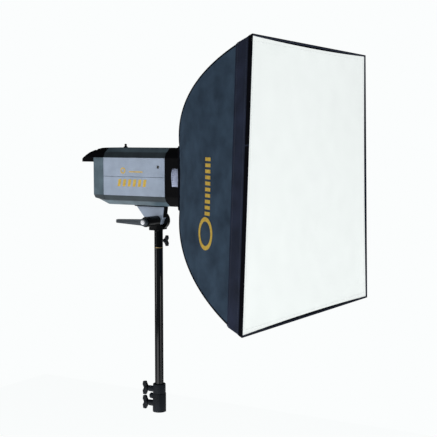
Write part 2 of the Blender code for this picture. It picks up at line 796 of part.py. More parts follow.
def make_front():
    """The bezel, whose groove holds the lock ring and opens through both sides, and its cover plate."""
    axis = (0, 0, AXIS_HEIGHT)
    start = CASE_FRONT + GAP
    bezel = piece("front_bezel", loft([head_ring(start), head_ring(BEZEL_FRONT)]), "black_plastic")
    bore = cutter(
        "bezel_bore",
        turned(axis, X_AXIS, [(start - OVERRUN, BEZEL_BORE), (BEZEL_FRONT + OVERRUN, BEZEL_BORE)]),
    )
    groove_radius = RING_RADIUS + RUNNING
    groove = cutter(
        "ring_groove",
        turned(axis, X_AXIS, [(RING_REAR - RUNNING, groove_radius), (BEZEL_FRONT + OVERRUN, groove_radius)]),
    )
    combine(bezel, bore, "DIFFERENCE")
    combine(bezel, groove, "DIFFERENCE")
    piece(
        "lock_ring",
        tube(axis, X_AXIS, RING_REAR, BEZEL_FRONT - GAP, RING_RADIUS, RING_BORE),
        "aluminium", axis,
    )
    plate = piece(
        "bezel_cover_plate",
        loft([head_ring(BEZEL_FRONT + GAP), head_ring(BEZEL_FRONT + GAP + COVER_PLATE)]),
        "black_plastic",
    )
    combine(plate, bore, "DIFFERENCE")


def make_light_source():
    """The bulkhead in the bezel, the flash tube ring on it, and the modelling lamp in its holder."""
    axis = (0, 0, AXIS_HEIGHT)
    holder_hole = HOLDER_RADIUS + GAP
    bulkhead_end = BULKHEAD_X + BULKHEAD_THICK
    piece(
        "reflector_bulkhead",
        tube(axis, X_AXIS, BULKHEAD_X, bulkhead_end, BEZEL_BORE - GAP, holder_hole),
        "aluminium",
    )
    holder_end = bulkhead_end + HOLDER_PROUD
    piece(
        "lamp_holder",
        turned(axis, X_AXIS, [(holder_end - HOLDER_LENGTH, HOLDER_RADIUS), (holder_end, HOLDER_RADIUS)]),
        "ceramic",
    )
    foot = holder_end + GAP
    profile = [(foot + share * LAMP_LENGTH, size * LAMP_RADIUS) for share, size in LAMP_PROFILE]
    piece("modelling_lamp", turned(axis, X_AXIS, profile, SMALL_ROUND), "glass")
    rings = []
    for i in range(TUBE_STEPS):
        turn = 2 * math.pi * i / TUBE_STEPS
        outward = Vector((0, math.cos(turn), math.sin(turn)))
        centre = Vector((TUBE_X, 0, AXIS_HEIGHT)) + outward * TUBE_RING_RADIUS
        rings.append(
            [
                centre + (outward * math.cos(t) + X_AXIS * math.sin(t)) * TUBE_GLASS_RADIUS
                for t in (2 * math.pi * j / TUBE_SIDES for j in range(TUBE_SIDES))
            ]
        )
    flash = piece("flash_tube", loft(rings, closed=True), "glass")
    leg_radius = TUBE_GLASS_RADIUS * TUBE_LEG
    for side in (RIGHT, LEFT):
        leg = cutter(
            f"tube_leg_{side}",
            turned(
                (0, side * TUBE_RING_RADIUS, AXIS_HEIGHT), X_AXIS,
                [(bulkhead_end + GAP, leg_radius), (TUBE_X, leg_radius)], TUBE_SIDES,
            ),
        )
        combine(flash, leg, "UNION")


def make_insides():
    """The flash capacitors and the power board in the case."""
    for name, side in (("capacitor_right", RIGHT), ("capacitor_left", LEFT)):
        centre = (CAPACITOR_X, side * (CAPACITOR_RADIUS + CAPACITOR_APART), AXIS_HEIGHT + CAPACITOR_RISE)
        piece(
            name,
            turned(centre, X_AXIS, [(0, CAPACITOR_RADIUS), (CAPACITOR_LENGTH, CAPACITOR_RADIUS)], MIDDLE_ROUND),
            "capacitor_sleeve",
        )
    level = AXIS_HEIGHT - BOARD_DROP
    middle = (CASE_REAR + CASE_FRONT) / 2
    piece(
        "power_board",
        block(
            (middle - BOARD_LENGTH / 2, -BOARD_WIDTH / 2, level),
            (middle + BOARD_LENGTH / 2, BOARD_WIDTH / 2, level + BOARD_THICK),
        ),
        "board_green",
    )


# ---------------------------------------------------------------- tilt bracket

def make_lug():
    """The lug under the case, which turns between the cheeks of the yoke, and the pad above it."""
    belly = AXIS_HEIGHT - HEAD_HEIGHT / 2 - GAP
    piece(
        "bracket_pad",
        block(
            (LUG_REAR - PAD_OVERHANG, -LUG_THICK / 2 - PAD_BORDER, belly - PAD_THICK),
            (LUG_FRONT + GUARD_THICK, LUG_THICK / 2 + PAD_BORDER, belly),
        ),
        "black_plastic",
    )
    top = belly - PAD_THICK - GAP - TILT_HEIGHT
    outline = [(LUG_REAR, top), LUG_HEEL]
    outline += arc((0, 0), PIVOT_RADIUS, 180, 360, 12) + [LUG_TOE, (LUG_FRONT, top)]
    lug = piece(
        "tilt_lug",
        prism([(x, TILT_HEIGHT + z) for x, z in outline], along_y, -LUG_THICK / 2, LUG_THICK / 2),
        "silver_paint", (0, 0, TILT_HEIGHT),
    )
    bore = cutter("lug_bore", pivot_cylinder(-LUG_THICK, LUG_THICK, BOLT_RADIUS + RUNNING, SMALL_ROUND))
    combine(lug, bore, "DIFFERENCE")
    toe_x, toe_z = LUG_TOE
    guard = [(toe_x + GAP, toe_z), (LUG_FRONT + GAP, top), (LUG_FRONT + GUARD_THICK, top)]
    guard += [(toe_x + GUARD_THICK, toe_z)]
    half_guard = LUG_THICK / 2 - GUARD_LIP
    piece(
        "lug_edge_guard",
        prism([(x, TILT_HEIGHT + z) for x, z in guard], along_y, -half_guard, half_guard),
        "black_plastic",
    )


def pivot_cylinder(start, end, radius, count=MIDDLE_ROUND):
    """A cylinder about the tilt axis, from one y to another."""
    return turned((0, 0, TILT_HEIGHT), Y_AXIS, [(start, radius), (end, radius)], count)


def make_yoke():
    """The black casting: two cheeks about the tilt axis, a base and the socket that drops over the spigot."""
    slot = LUG_THICK / 2 + RUNNING
    yoke = piece("tilt_yoke", pivot_cylinder(CHEEK_NEAR_END, -slot, PIVOT_RADIUS), "black_metal")
    rim, bevel = FAR_CHEEK_RADIUS, FAR_CHEEK_BEVEL
    disc = [(slot, rim), (CHEEK_FAR_END - bevel, rim), (CHEEK_FAR_END, rim - bevel)]
    far = cutter("far_cheek", turned((0, 0, TILT_HEIGHT), Y_AXIS, disc))
    base_top, base_foot = TILT_HEIGHT - YOKE_FLOOR, TILT_HEIGHT - YOKE_DEPTH
    web_top = TILT_HEIGHT - WEB_DROP
    near_end, far_end = CHEEK_NEAR_END + YOKE_STEP, CHEEK_FAR_END - YOKE_MARGIN
    base = cutter("yoke_base", block((-YOKE_HALF, near_end, base_foot), (YOKE_HALF, far_end, base_top)))
    near_web = cutter("near_web", block((-YOKE_HALF, near_end, base_foot), (YOKE_HALF, -slot, web_top)))
    far_web = cutter("far_web", block((-YOKE_HALF, slot, base_foot), (YOKE_HALF, far_end, web_top)))
    neck = cutter(
        "socket_body",
        turned(
            (0, 0, 0), Z_AXIS,
            [
                (SOCKET_FOOT + GAP, COLUMN_RADIUS), (base_foot - NECK_FALL, COLUMN_RADIUS),
                (base_foot + NECK_RISE, COLUMN_RADIUS + NECK_FLARE),
            ],
        ),
    )
    for shape in (far, base, near_web, far_web, neck):
        combine(yoke, shape, "UNION")
    spigot_bore = cutter(
        "spigot_bore",
        turned(
            (0, 0, 0), Z_AXIS,
            [
                (SOCKET_FOOT - OVERRUN, SPIGOT_RADIUS + RUNNING),
                (SOCKET_FOOT + SPIGOT_LENGTH + CHAMFER, SPIGOT_RADIUS + RUNNING),
            ],
        ),
    )
    bolt_bore = cutter(
        "yoke_bolt_bore",
        pivot_cylinder(CHEEK_NEAR_END - OVERRUN, CHEEK_FAR_END + OVERRUN, BOLT_RADIUS + GAP, SMALL_ROUND),
    )
    screw_bore = cutter(
        "socket_screw_bore",
        turned(
            (0, 0, socket_screw_level()), X_AXIS,
            [(0.0, WING_SLIM + RUNNING), (COLUMN_RADIUS + OVERRUN, WING_SLIM + RUNNING)], SMALL_ROUND,
        ),
    )
    for hole in (spigot_bore, bolt_bore, screw_bore):
        combine(yoke, hole, "DIFFERENCE")


def socket_screw_level():
    return SOCKET_FOOT + SOCKET_SCREW_RISE


def make_tilt_clamp():
    """The bolt through lug and yoke, the clamping lever with its cap on one end and the nut on the other."""
    hinge = (0, 0, TILT_HEIGHT)
    bolt_near = LEVER_OUTER + BOLT_INSET
    bolt_far = CHEEK_FAR_END + GAP + NUT_THICK
    piece("tilt_bolt", pivot_cylinder(bolt_near, bolt_far, BOLT_RADIUS, SMALL_ROUND), "steel", hinge)
    lever = piece(
        "tilt_lever",
        pivot_cylinder(LEVER_OUTER, CHEEK_NEAR_END - GAP, LEVER_BOSS),
        "lever_grey", hinge,
    )
    nose = LEVER_NOSE - LEVER_LENGTH
    outline = [(0.0, -LEVER_BOSS * LEVER_UNDER), (0.0, LEVER_BOSS * LEVER_OVER), (nose, LEVER_TIP)]
    outline += [(-LEVER_LENGTH, LEVER_TIP - CHAMFER), (-LEVER_LENGTH, CHAMFER - LEVER_TIP), (nose, -LEVER_TIP)]
    arm = cutter(
        "lever_arm",
        prism([(x, TILT_HEIGHT + z) for x, z in outline], along_y, LEVER_OUTER + LEVER_SKIN, LEVER_INNER),
    )
    combine(lever, arm, "UNION")
    bore = cutter(
        "lever_bore",
        pivot_cylinder(bolt_near - GAP, CHEEK_NEAR_END + OVERRUN, BOLT_RADIUS + RUNNING, SMALL_ROUND),
    )
    combine(lever, bore, "DIFFERENCE")
    edge = LEVER_OUTER - GAP
    profile = [(edge - CAP_HEIGHT * share, CAP_RADIUS * size) for share, size in CAP_PROFILE]
    piece("lever_cap", turned(hinge, Y_AXIS, profile, MIDDLE_ROUND), "bright_cap", hinge)
    start = CHEEK_FAR_END + GAP
    nut = piece("tilt_nut", pivot_cylinder(start, start + NUT_THICK, NUT_RADIUS, 6), "steel", hinge)
    nut_bore = cutter(
        "nut_bore",
        pivot_cylinder(start - OVERRUN, start + NUT_THICK + OVERRUN, BOLT_RADIUS + GAP, SMALL_ROUND),
    )
    combine(nut, nut_bore, "DIFFERENCE")


def wing_screw(name, level, side, tip, rim, size):
    """A two-winged screw across the column. Its stem ends at tip from the axis, and its wings at rim."""
    origin = Vector((side * tip, 0, level))
    axis = X_AXIS * side
    reach = rim - tip
    neck = reach - WING_THICK * size
    slim, collar = WING_SLIM * size, WING_COLLAR * size
    wide = slim * WING_SHOULDER
    stem = [(0.0, slim), (neck - collar, slim), (neck - collar + CHAMFER / 2, wide), (neck + collar, wide)]
    screw = piece(name, turned(origin, axis, stem, SMALL_ROUND), "black_plastic", origin)
    span, thick = WING_SPAN * size, WING_THICK * size
    half = [(neck, span * WING_ROOT), (neck + thick * WING_LEAN, span)]
    half += [(reach - thick * WING_EDGE, span * WING_TIP), (reach, span * WING_FACE)]
    outline = half + [(reach - thick * WING_DIP, 0.0)] + [(u, -v) for u, v in reversed(half)]
    width = slim * WING_WEB

    def place(u, v, w):
        return origin + axis * u + Z_AXIS * v + Y_AXIS * w

    wings = cutter(name + "_wings", prism(outline, place, -width, width))
    combine(screw, wings, "UNION")


# ---------------------------------------------------------------- column and coupler

def make_column():
    """The tube with its trim band, and the spigot on top of it."""
    foot = COUPLER_HEIGHT - COLUMN_OVERLAP
    band_foot = SOCKET_FOOT - RING_BAND
    piece(
        "column_tube",
        tube((0, 0, 0), Z_AXIS, foot, band_foot - GAP, COLUMN_RADIUS, COLUMN_RADIUS - COLUMN_WALL),
        "black_metal",
    )
    piece(
        "column_band",
        tube((0, 0, 0), Z_AXIS, band_foot, SOCKET_FOOT, COLUMN_RADIUS + BAND_PROUD, SPIGOT_RADIUS + GAP),
        "brass",
    )
    inner = COLUMN_RADIUS - COLUMN_WALL - GAP
    step, top = band_foot - GAP, SOCKET_FOOT + SPIGOT_LENGTH
    profile = [(SOCKET_FOOT - SPIGOT_TAIL, inner), (step, inner), (step, SPIGOT_RADIUS)]
    profile += [(top - CHAMFER, SPIGOT_RADIUS), (top, SPIGOT_RADIUS - CHAMFER)]
    piece("column_spigot", turned((0, 0, 0), Z_AXIS, profile), "steel")


def make_coupler():
    """The stepped clamp coupler with three bosses, and the screw in its middle boss."""
    coupler = piece(
        "clamp_coupler",
        turned(
            (0, 0, 0), Z_AXIS,
            [
                (0.0, COUPLER_LOWER), (COUPLER_STEP - CHAMFER, COUPLER_LOWER),
                (COUPLER_STEP, COUPLER_LOWER - CHAMFER), (COUPLER_STEP, COUPLER_UPPER),
                (COUPLER_HEIGHT - CHAMFER, COUPLER_UPPER), (COUPLER_HEIGHT, COUPLER_UPPER - CHAMFER),
            ],
        ),
        "black_plastic",
    )
    bosses = [(level, BOSS_RADIUS, BOSS_END) for level in KNOB_LEVELS.values()]
    bosses.append((COUPLER_SCREW_LEVEL, SCREW_BOSS_RADIUS, SCREW_BOSS_END))
    for index, (level, radius, end) in enumerate(bosses):
        boss = cutter(
            f"coupler_boss_{index}",
            turned((0, 0, level), -X_AXIS, [(0.0, radius), (end, radius)], SMALL_ROUND),
        )
        combine(coupler, boss, "UNION")
    bores = [
        ("column_bore", COLUMN_RADIUS + RUNNING, STAND_TUBE_DEPTH - OVERRUN, COUPLER_HEIGHT + OVERRUN),
        ("stand_tube_bore", STAND_TUBE_RADIUS, -OVERRUN, STAND_TUBE_DEPTH),
    ]
    for name, radius, start, end in bores:
        bore = cutter(name, turned((0, 0, 0), Z_AXIS, [(start, radius), (end, radius)]))
        combine(coupler, bore, "DIFFERENCE")
    for name, level in KNOB_LEVELS.items():
        radius, start = WING_SLIM + RUNNING, COLUMN_RADIUS / 2
        profile = [(start, radius), (BOSS_END + OVERRUN, radius)]
        hole = cutter(name + "_bore", turned((0, 0, level), -X_AXIS, profile, SMALL_ROUND))
        combine(coupler, hole, "DIFFERENCE")
    face, head = SCREW_BOSS_END + GAP, SCREW_BOSS_RADIUS * COUPLER_SCREW_SIZE
    end = face + COUPLER_SCREW_HEAD
    profile = [(face, head), (end - CHAMFER, head), (end, head - CHAMFER)]
    piece("coupler_screw", turned((0, 0, COUPLER_SCREW_LEVEL), -X_AXIS, profile, SMALL_ROUND), "steel")
    wing_screw("upper_knob", KNOB_LEVELS["upper_knob"], -1, COLUMN_RADIUS + 2 * RUNNING, KNOB_RIM, 1.0)
    wing_screw("lower_knob", KNOB_LEVELS["lower_knob"], -1, STAND_TUBE_RADIUS + RUNNING, KNOB_RIM, 1.0)


# ---------------------------------------------------------------- softbox

def fabric_curve(share):
    """(x, half width, slope) of the box's side at a share of the way forward: a quadratic Bezier curve."""
    rear, bulge, front = Vector(FABRIC_REAR), Vector(FABRIC_BULGE), Vector(FABRIC_FRONT)
    rest = 1 - share
    point = rear * rest**2 + bulge * (2 * rest * share) + front * share**2
    slope = (bulge - rear) * rest + (front - bulge) * share
    return point.x, point.y, math.atan2(slope.y, slope.x)


def settle(x, y, z, share):
    """The place of a point of the softbox, whose frame leans, twists and sags a little, most at its front."""
    weight = share * share
    side, level = y / LIP_FRONT_HALF, z / LIP_FRONT_HALF
    shift = (FRAME_LEAN * level - FRAME_TWIST * side * level) * weight
    return Vector((x + shift, y, AXIS_HEIGHT + z - FRAME_SAG * weight))


def side_point(direction, along, out, x, share):
    """A point of one side: direction is the side's outward (y, z), and along is the distance across it."""
    y, z = direction
    return settle(x, y * out - z * along, z * out + y * along, share)


def make_fabric_sides():
    """The four side panels: each is straight across, from rod to rod, and curved from back to front."""
    sides = {
        "softbox_side_right": (RIGHT, 0), "softbox_side_left": (LEFT, 0),
        "softbox_side_top": (0, 1), "softbox_side_bottom": (0, -1),
    }
    for name, direction in sides.items():
        rings = []
        for i in range(PANEL_STATIONS):
            share = i / (PANEL_STATIONS - 1)
            x, half, slope = fabric_curve(share)
            inward = Vector((math.sin(slope), -math.cos(slope))) * FABRIC
            reach = half - FABRIC - GAP
            ring = []
            for depth in (0, 1):
                across_side = (-reach, 0.0, reach) if depth == 0 else (reach, 0.0, -reach)
                ring += [
                    side_point(direction, along, half + inward.y * depth, x + inward.x * depth, share)
                    for along in across_side
                ]
            rings.append(ring)
        piece(name, loft(rings), "black_fabric")


def square_ring(x, half, share=1.0):
    return [settle(x, y * half, z * half, share) for y, z in ((1, 1), (-1, 1), (-1, -1), (1, -1))]


def make_front_frame():
    """The stiff lip round the front and the white diffuser stretched in it."""
    rear = FABRIC_FRONT[0] + GAP
    outline = [(rear, LIP_REAR_HALF), (LIP_FRONT, LIP_FRONT_HALF)]
    outline += [(LIP_FRONT, LIP_FRONT_HALF - LIP_THICK), (rear, LIP_REAR_HALF - LIP_THICK)]
    piece("front_lip", loft([square_ring(x, half) for x, half in outline], closed=True), "lip_fabric")
    half = LIP_FRONT_HALF - LIP_THICK - DIFFUSER_GAP
    back = LIP_FRONT - DIFFUSER_SETBACK
    rings = []
    for i in range(PANEL_STATIONS):
        level = half * (2 * i / (PANEL_STATIONS - 1) - 1)
        front_row = [settle(back + FABRIC, y, level, 1.0) for y in (-half, 0.0, half)]
        back_row = [settle(back, y, level, 1.0) for y in (half, 0.0, -half)]
        rings.append(front_row + back_row)
    piece("front_diffuser", loft(rings), "white_fabric")


def rod_point(share, side, level):
    """The middle of the rod in one corner, just inside the fabric."""
    x, half, slope = fabric_curve(share)
    half -= ROD_INSET * math.cos(slope)
    return settle(x + ROD_INSET * math.sin(slope), side * half, level * half, share)


CORNERS = {
    "top_right": (RIGHT, 1), "top_left": (LEFT, 1), "bottom_right": (RIGHT, -1), "bottom_left": (LEFT, -1),
}


def make_rods():
    """Four bent rods, from the speed ring's sockets to the corners of the front."""
    for name, (side, level) in CORNERS.items():
        points = [rod_point(i / (ROD_POINTS - 1), side, level) for i in range(ROD_POINTS)]
        rings = []
        for i, point in enumerate(points):
            ahead, behind = points[min(i + 1, ROD_POINTS - 1)], points[max(i - 1, 0)]
            axis = (ahead - behind).normalized()
            across_rod = axis.cross(Vector((0, -level, side))).normalized()
            upright = axis.cross(across_rod)
            ring = []
            for j in range(BAR_ROUND):
                turn = 2 * math.pi * j / BAR_ROUND
                ring.append(point + (across_rod * math.cos(turn) + upright * math.sin(turn)) * ROD_RADIUS)
            rings.append(ring)
        piece(f"rod_{name}", loft(rings), "steel")


def make_speed_ring():
    """The aluminium ring that carries the rods: hub, flange, and an arm with a rod socket to each corner."""
    axis = (0, 0, AXIS_HEIGHT)
    front = SPEED_RING_REAR + SPEED_RING_THICK
    profile = [
        (HUB_REAR, HUB_RADIUS), (SPEED_RING_REAR, HUB_RADIUS), (SPEED_RING_REAR, SPEED_RING_RADIUS),
        (front, SPEED_RING_RADIUS), (front, HUB_BORE), (HUB_REAR, HUB_BORE),
    ]
    ring = piece("speed_ring", turned(axis, X_AXIS, profile, closed=True), "aluminium", axis)
    for name, (side, level) in CORNERS.items():
        start, ahead = rod_point(0.0, side, level), rod_point(1 / ROD_POINTS, side, level)
        along = (ahead - start).normalized()
        outward = Vector((0, side, level)).normalized()
        sideways = X_AXIS.cross(outward)
        half_arm, inner, outer = ARM_HALF, SPEED_RING_RADIUS - ARM_ROOT, ARM_REACH
        corners = [(inner, -half_arm), (outer, -half_arm), (outer, half_arm), (inner, half_arm)]

        def place(u, v, w):
            return Vector((w, 0, AXIS_HEIGHT)) + outward * u + sideways * v

        arm = cutter(f"arm_{name}", prism(corners, place, SPEED_RING_REAR, front))
        combine(ring, arm, "UNION")
        socket = turned(
            start, along, [(-SOCKET_BOSS_LENGTH, SOCKET_BOSS_RADIUS), (-GAP, SOCKET_BOSS_RADIUS)], SMALL_ROUND
        )
        combine(ring, cutter(f"socket_{name}", socket), "UNION")


def main():
    for old in list(bpy.data.objects):
        bpy.data.objects.remove(old)
    make_casing()
    make_side_panels()
    make_rear_cover()
    make_handle()
    make_control_panel()
    make_dial()
    make_buttons()
    make_mains_inlet()
    make_switch()
    make_small_fittings()
    make_front()
    make_light_source()
    make_insides()
    make_lug()
    make_yoke()
    make_tilt_clamp()
    tip = SPIGOT_RADIUS + 2 * RUNNING
    wing_screw("socket_screw", socket_screw_level(), 1, tip, SOCKET_SCREW_RIM, SOCKET_SCREW_SIZE)
    make_column()
    make_coupler()
    make_fabric_sides()
    make_front_frame()
    make_rods()
    make_speed_ring()


main()
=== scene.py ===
"""The looks of a studio monolight strobe with its softbox, bracket and stand column.

The light shines along +X, the column stands along Z, and lengths are in metres.
"""

import json
import math

import bmesh
import bpy
import numpy as np
from bpy.props import FloatProperty, FloatVectorProperty, IntProperty, PointerProperty
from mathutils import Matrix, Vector

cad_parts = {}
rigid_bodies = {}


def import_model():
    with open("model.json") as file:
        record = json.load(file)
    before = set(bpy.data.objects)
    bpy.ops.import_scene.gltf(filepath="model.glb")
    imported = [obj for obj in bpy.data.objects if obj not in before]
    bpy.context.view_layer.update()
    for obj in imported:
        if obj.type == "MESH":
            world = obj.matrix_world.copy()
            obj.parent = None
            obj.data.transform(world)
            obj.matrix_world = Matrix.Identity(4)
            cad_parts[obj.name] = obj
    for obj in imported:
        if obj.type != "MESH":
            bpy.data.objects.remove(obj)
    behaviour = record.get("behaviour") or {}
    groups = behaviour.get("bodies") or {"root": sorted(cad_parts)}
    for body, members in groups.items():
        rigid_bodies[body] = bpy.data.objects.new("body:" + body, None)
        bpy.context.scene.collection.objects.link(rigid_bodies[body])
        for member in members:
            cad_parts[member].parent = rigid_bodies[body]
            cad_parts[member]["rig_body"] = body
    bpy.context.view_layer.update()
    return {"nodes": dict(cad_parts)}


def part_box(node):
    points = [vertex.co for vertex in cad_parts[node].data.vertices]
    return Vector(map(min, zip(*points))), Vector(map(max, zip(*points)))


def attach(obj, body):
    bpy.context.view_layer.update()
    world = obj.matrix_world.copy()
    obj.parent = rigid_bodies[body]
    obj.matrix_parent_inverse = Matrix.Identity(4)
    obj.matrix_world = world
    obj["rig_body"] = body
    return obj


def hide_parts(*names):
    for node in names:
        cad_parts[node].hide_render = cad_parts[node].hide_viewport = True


bl_info = {
    "name": "Monolight strobe",
    "version": (1, 0, 0),
    "blender": (4, 5, 0),
    "location": "3D View > Sidebar > Monolight",
    "description": "Finishes a studio flash head, its softbox and its column",
    "category": "Object",
}

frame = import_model()

RIGHT, LEFT = -1, 1
AXIS_Z = sum(corner.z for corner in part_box("lock_ring")) / 2
TILT_Z = sum(corner.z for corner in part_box("tilt_bolt")) / 2
PANEL_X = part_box("control_panel")[0].x
SIDES = {
    "softbox_side_right": (RIGHT, 0), "softbox_side_left": (LEFT, 0),
    "softbox_side_top": (0, 1), "softbox_side_bottom": (0, -1),
}
CORNERS = {
    "top_right": (RIGHT, 1), "top_left": (LEFT, 1),
    "bottom_right": (RIGHT, -1), "bottom_left": (LEFT, -1),
}
# The faces of a block whose first four corners face the last four.
BLOCK = np.array([[0, 1, 2, 3], [7, 6, 5, 4], [0, 4, 5, 1], [1, 5, 6, 2], [2, 6, 7, 3], [3, 7, 4, 0]])

# The softbox's side curve as (x, half width), and how its front settles.
REAR, BULGE, FRONT = np.array((0.112, 0.074)), np.array((0.182, 0.205)), np.array((0.387, 0.2875))
LIP_REAR_HALF, LIP_FRONT_HALF, LIP_FRONT_X = 0.289, 0.300, 0.420
TWIST, LEAN, SAG = 0.0085, 0.0025, 0.004
CLOTH = 0.0008
ROD_INSET, ROD_RADIUS = 0.0055, 0.0022
# The draw behind the first panel's folds, which its printed marks follow. The other panels count on.
FIRST_SEED = 11
# Blender's wave texture turns once in this many units at scale 1.
WAVE_TURN = math.pi / 10
# The heights from the axis between which the case's shoulders carry painted shade, a darker strip that stands
# in for the shade and dark reflections on their curve.
SHOULDER_SHADE_STRIP = 0.0455, 0.0592
# Every finish by its name. The first operator fills it.
FINISH = {}


def linear(code):
    """A hex sRGB colour as linear RGBA. A colour that is linear already is passed through."""
    if not isinstance(code, str):
        return (*code, 1.0)
    channels = [int(code[i:i + 2], 16) / 255 for i in (0, 2, 4)]
    return (*(c / 12.92 if c <= 0.04045 else ((c + 0.055) / 1.055) ** 2.4 for c in channels), 1.0)


# ---------------------------------------------------------------- meshes

def make_piece(name, points, faces, finish, body, cloth_uv=None, sharp=35.0):
    """Puts points and quads into a closed mesh, merges its seams and poles, and makes it face outwards."""
    mesh = bpy.data.meshes.new(name)
    mesh.from_pydata(np.asarray(points).reshape(-1, 3), [], np.asarray(faces).reshape(-1, 4))
    if cloth_uv is not None:
        loops = np.zeros(len(mesh.loops), np.int32)
        mesh.loops.foreach_get("vertex_index", loops)
        layer = mesh.uv_layers.new(name="cloth")
        layer.data.foreach_set("uv", np.asarray(cloth_uv, np.float32).reshape(-1, 2)[loops].ravel())
    work = bmesh.new()
    work.from_mesh(mesh)
    bmesh.ops.remove_doubles(work, verts=work.verts, dist=1e-6)
    bmesh.ops.dissolve_degenerate(work, edges=work.edges, dist=1e-7)
    bmesh.ops.recalc_face_normals(work, faces=work.faces)
    work.to_mesh(mesh)
    work.free()
    mesh.shade_smooth()
    mesh.set_sharp_from_angle(angle=math.radians(sharp))
    mesh.materials.append(FINISH[finish])
    made = bpy.data.objects.new(name, mesh)
    bpy.context.scene.collection.objects.link(made)
    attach(made, body)
    return made


def grid_quads(rows, columns, wrap_rows=False, wrap_columns=False):
    """Corner indices of the quads of a grid: each point with its neighbours along both directions."""
    i = np.arange(rows if wrap_rows else rows - 1)[:, None]
    j = np.arange(columns if wrap_columns else columns - 1)[None, :]
    i2, j2 = (i + 1) % rows, (j + 1) % columns
    corners = [i * columns + j, i2 * columns + j, i2 * columns + j2, i * columns + j2]
    return np.stack(np.broadcast_arrays(*corners), -1).reshape(-1, 4)


def shell(outer, inner):
    """Quads and points of a sheet with two faces: both grids, and a rim round their four edges."""
    rows, columns = outer.shape[:2]
    index = np.arange(rows * columns).reshape(rows, columns)
    edge = np.concatenate([index[0], index[1:, -1], index[-1, -2::-1], index[-2:0:-1, 0]])
    after, offset = np.roll(edge, -1), rows * columns
    face = grid_quads(rows, columns)
    rim = np.stack([edge, after, after + offset, edge + offset], -1)
    return np.concatenate([outer.reshape(-1, 3), inner.reshape(-1, 3)]), np.concatenate(
        [face, face[:, ::-1] + offset, rim]
    )


def basis(axis):
    """Two unit vectors square to the axis and to each other."""
    axis = np.asarray(axis, float) / np.linalg.norm(axis)
    first = np.cross((0.0, 1.0, 0.0) if abs(axis[2]) > 0.9 else (0.0, 0.0, 1.0), axis)
    first /= np.linalg.norm(first)
    return axis, first, np.cross(axis, first)


def turned(name, centre, axis, profile, finish, body, sides=64, closed=False):
    """A body of revolution over a profile of (along, radius).

    Each point is centre + axis * along + radius * (cos turn, sin turn).
    """
    axis, first, second = basis(axis)
    along, radius = np.array(profile, float).T
    turn = np.linspace(0, 2 * math.pi, sides, endpoint=False)
    ring = np.cos(turn)[:, None] * first + np.sin(turn)[:, None] * second
    points = np.array(centre) + along[:, None, None] * axis + radius[:, None, None] * ring[None]
    faces = grid_quads(len(along), sides, wrap_rows=closed, wrap_columns=True)
    return make_piece(name, points, faces, finish, body)


def soften(profile, radius):
    """Rounds a profile's inner corners: each becomes a quadratic arc with its ends at most radius away."""
    points = np.array(profile, float)
    share = np.linspace(0, 1, 5)[:, None]
    out = [points[:1]]
    for before, corner, after in zip(points, points[1:], points[2:]):
        one, two = before - corner, after - corner
        near = corner + one * min(0.5, radius / max(np.linalg.norm(one), 1e-9))
        far = corner + two * min(0.5, radius / max(np.linalg.norm(two), 1e-9))
        out.append(near * (1 - share) ** 2 + corner * 2 * share * (1 - share) + far * share**2)
    return np.concatenate(out + [points[-1:]])


def swept(name, path, radius, finish, body, sides=12):
    """A round bar: each ring lies square to the path, and the two ends close on the path itself."""
    path = np.asarray(path, float)
    ahead = np.gradient(path, axis=0)
    ahead /= np.linalg.norm(ahead, axis=1, keepdims=True)
    _, first, _ = basis(ahead[0])
    first = first - (ahead @ first)[:, None] * ahead
    first /= np.linalg.norm(first, axis=1, keepdims=True)
    second = np.cross(ahead, first)
    turn = np.linspace(0, 2 * math.pi, sides, endpoint=False)
    ring = np.cos(turn)[None, :, None] * first[:, None] + np.sin(turn)[None, :, None] * second[:, None]
    start, end = (np.repeat(tip[:, None], sides, 1) for tip in (path[:1], path[-1:]))
    points = np.concatenate([start, path[:, None] + radius * ring, end])
    along = np.concatenate([[0, 0], np.cumsum(np.linalg.norm(np.diff(path, axis=0), axis=1))])
    along = np.append(along, along[-1])
    uv = np.stack(np.broadcast_arrays(along[:, None], turn * radius), -1)
    faces = grid_quads(len(points), sides, wrap_columns=True)
    return make_piece(name, points, faces, finish, body, uv)


def eased(node, width, finish, merge=True):
    """A copy of a node with small rounds on its edges.

    Its flat triangles are merged first, unless they ring a bore, which merging would close.
    """
    source = frame["nodes"][node]
    work = bmesh.new()
    work.from_mesh(source.data)
    bmesh.ops.remove_doubles(work, verts=work.verts, dist=2e-6)
    if merge:
        bmesh.ops.dissolve_limit(work, angle_limit=math.radians(0.6), verts=work.verts, edges=work.edges)
    mesh = bpy.data.meshes.new(node + "_finished")
    work.to_mesh(mesh)
    work.free()
    made = bpy.data.objects.new(node + "_finished", mesh)
    bpy.context.scene.collection.objects.link(made)
    mesh.shade_smooth()
    mesh.set_sharp_from_angle(angle=math.radians(40))
    step = made.modifiers.new("edge", "BEVEL")
    step.width, step.segments, step.limit_method = width, 3, "ANGLE"
    step.angle_limit, step.use_clamp_overlap, step.harden_normals = math.radians(30), True, True
    graph = bpy.context.evaluated_depsgraph_get()
    final = bpy.data.meshes.new_from_object(made.evaluated_get(graph))
    made.modifiers.clear()
    made.data = final
    bpy.data.meshes.remove(mesh)
    final.materials.clear()
    final.materials.append(FINISH[finish])
    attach(made, source["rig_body"])
    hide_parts(node)
    return made


def replace(piece, *nodes):
    """Hides the nodes that a new piece stands for, and returns the piece."""
    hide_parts(*nodes)
    return piece


# ---------------------------------------------------------------- materials

def add(tree, kind, inputs=None, **settings):
    """Adds a node. An input is a value, or another node's output to link."""
    made = tree.nodes.new(kind)
    for key, value in settings.items():
        setattr(made, key, value)
    for key, value in (inputs or {}).items():
        if isinstance(value, bpy.types.NodeSocket):
            tree.links.new(value, made.inputs[key])
        else:
            made.inputs[key].default_value = value
    return made


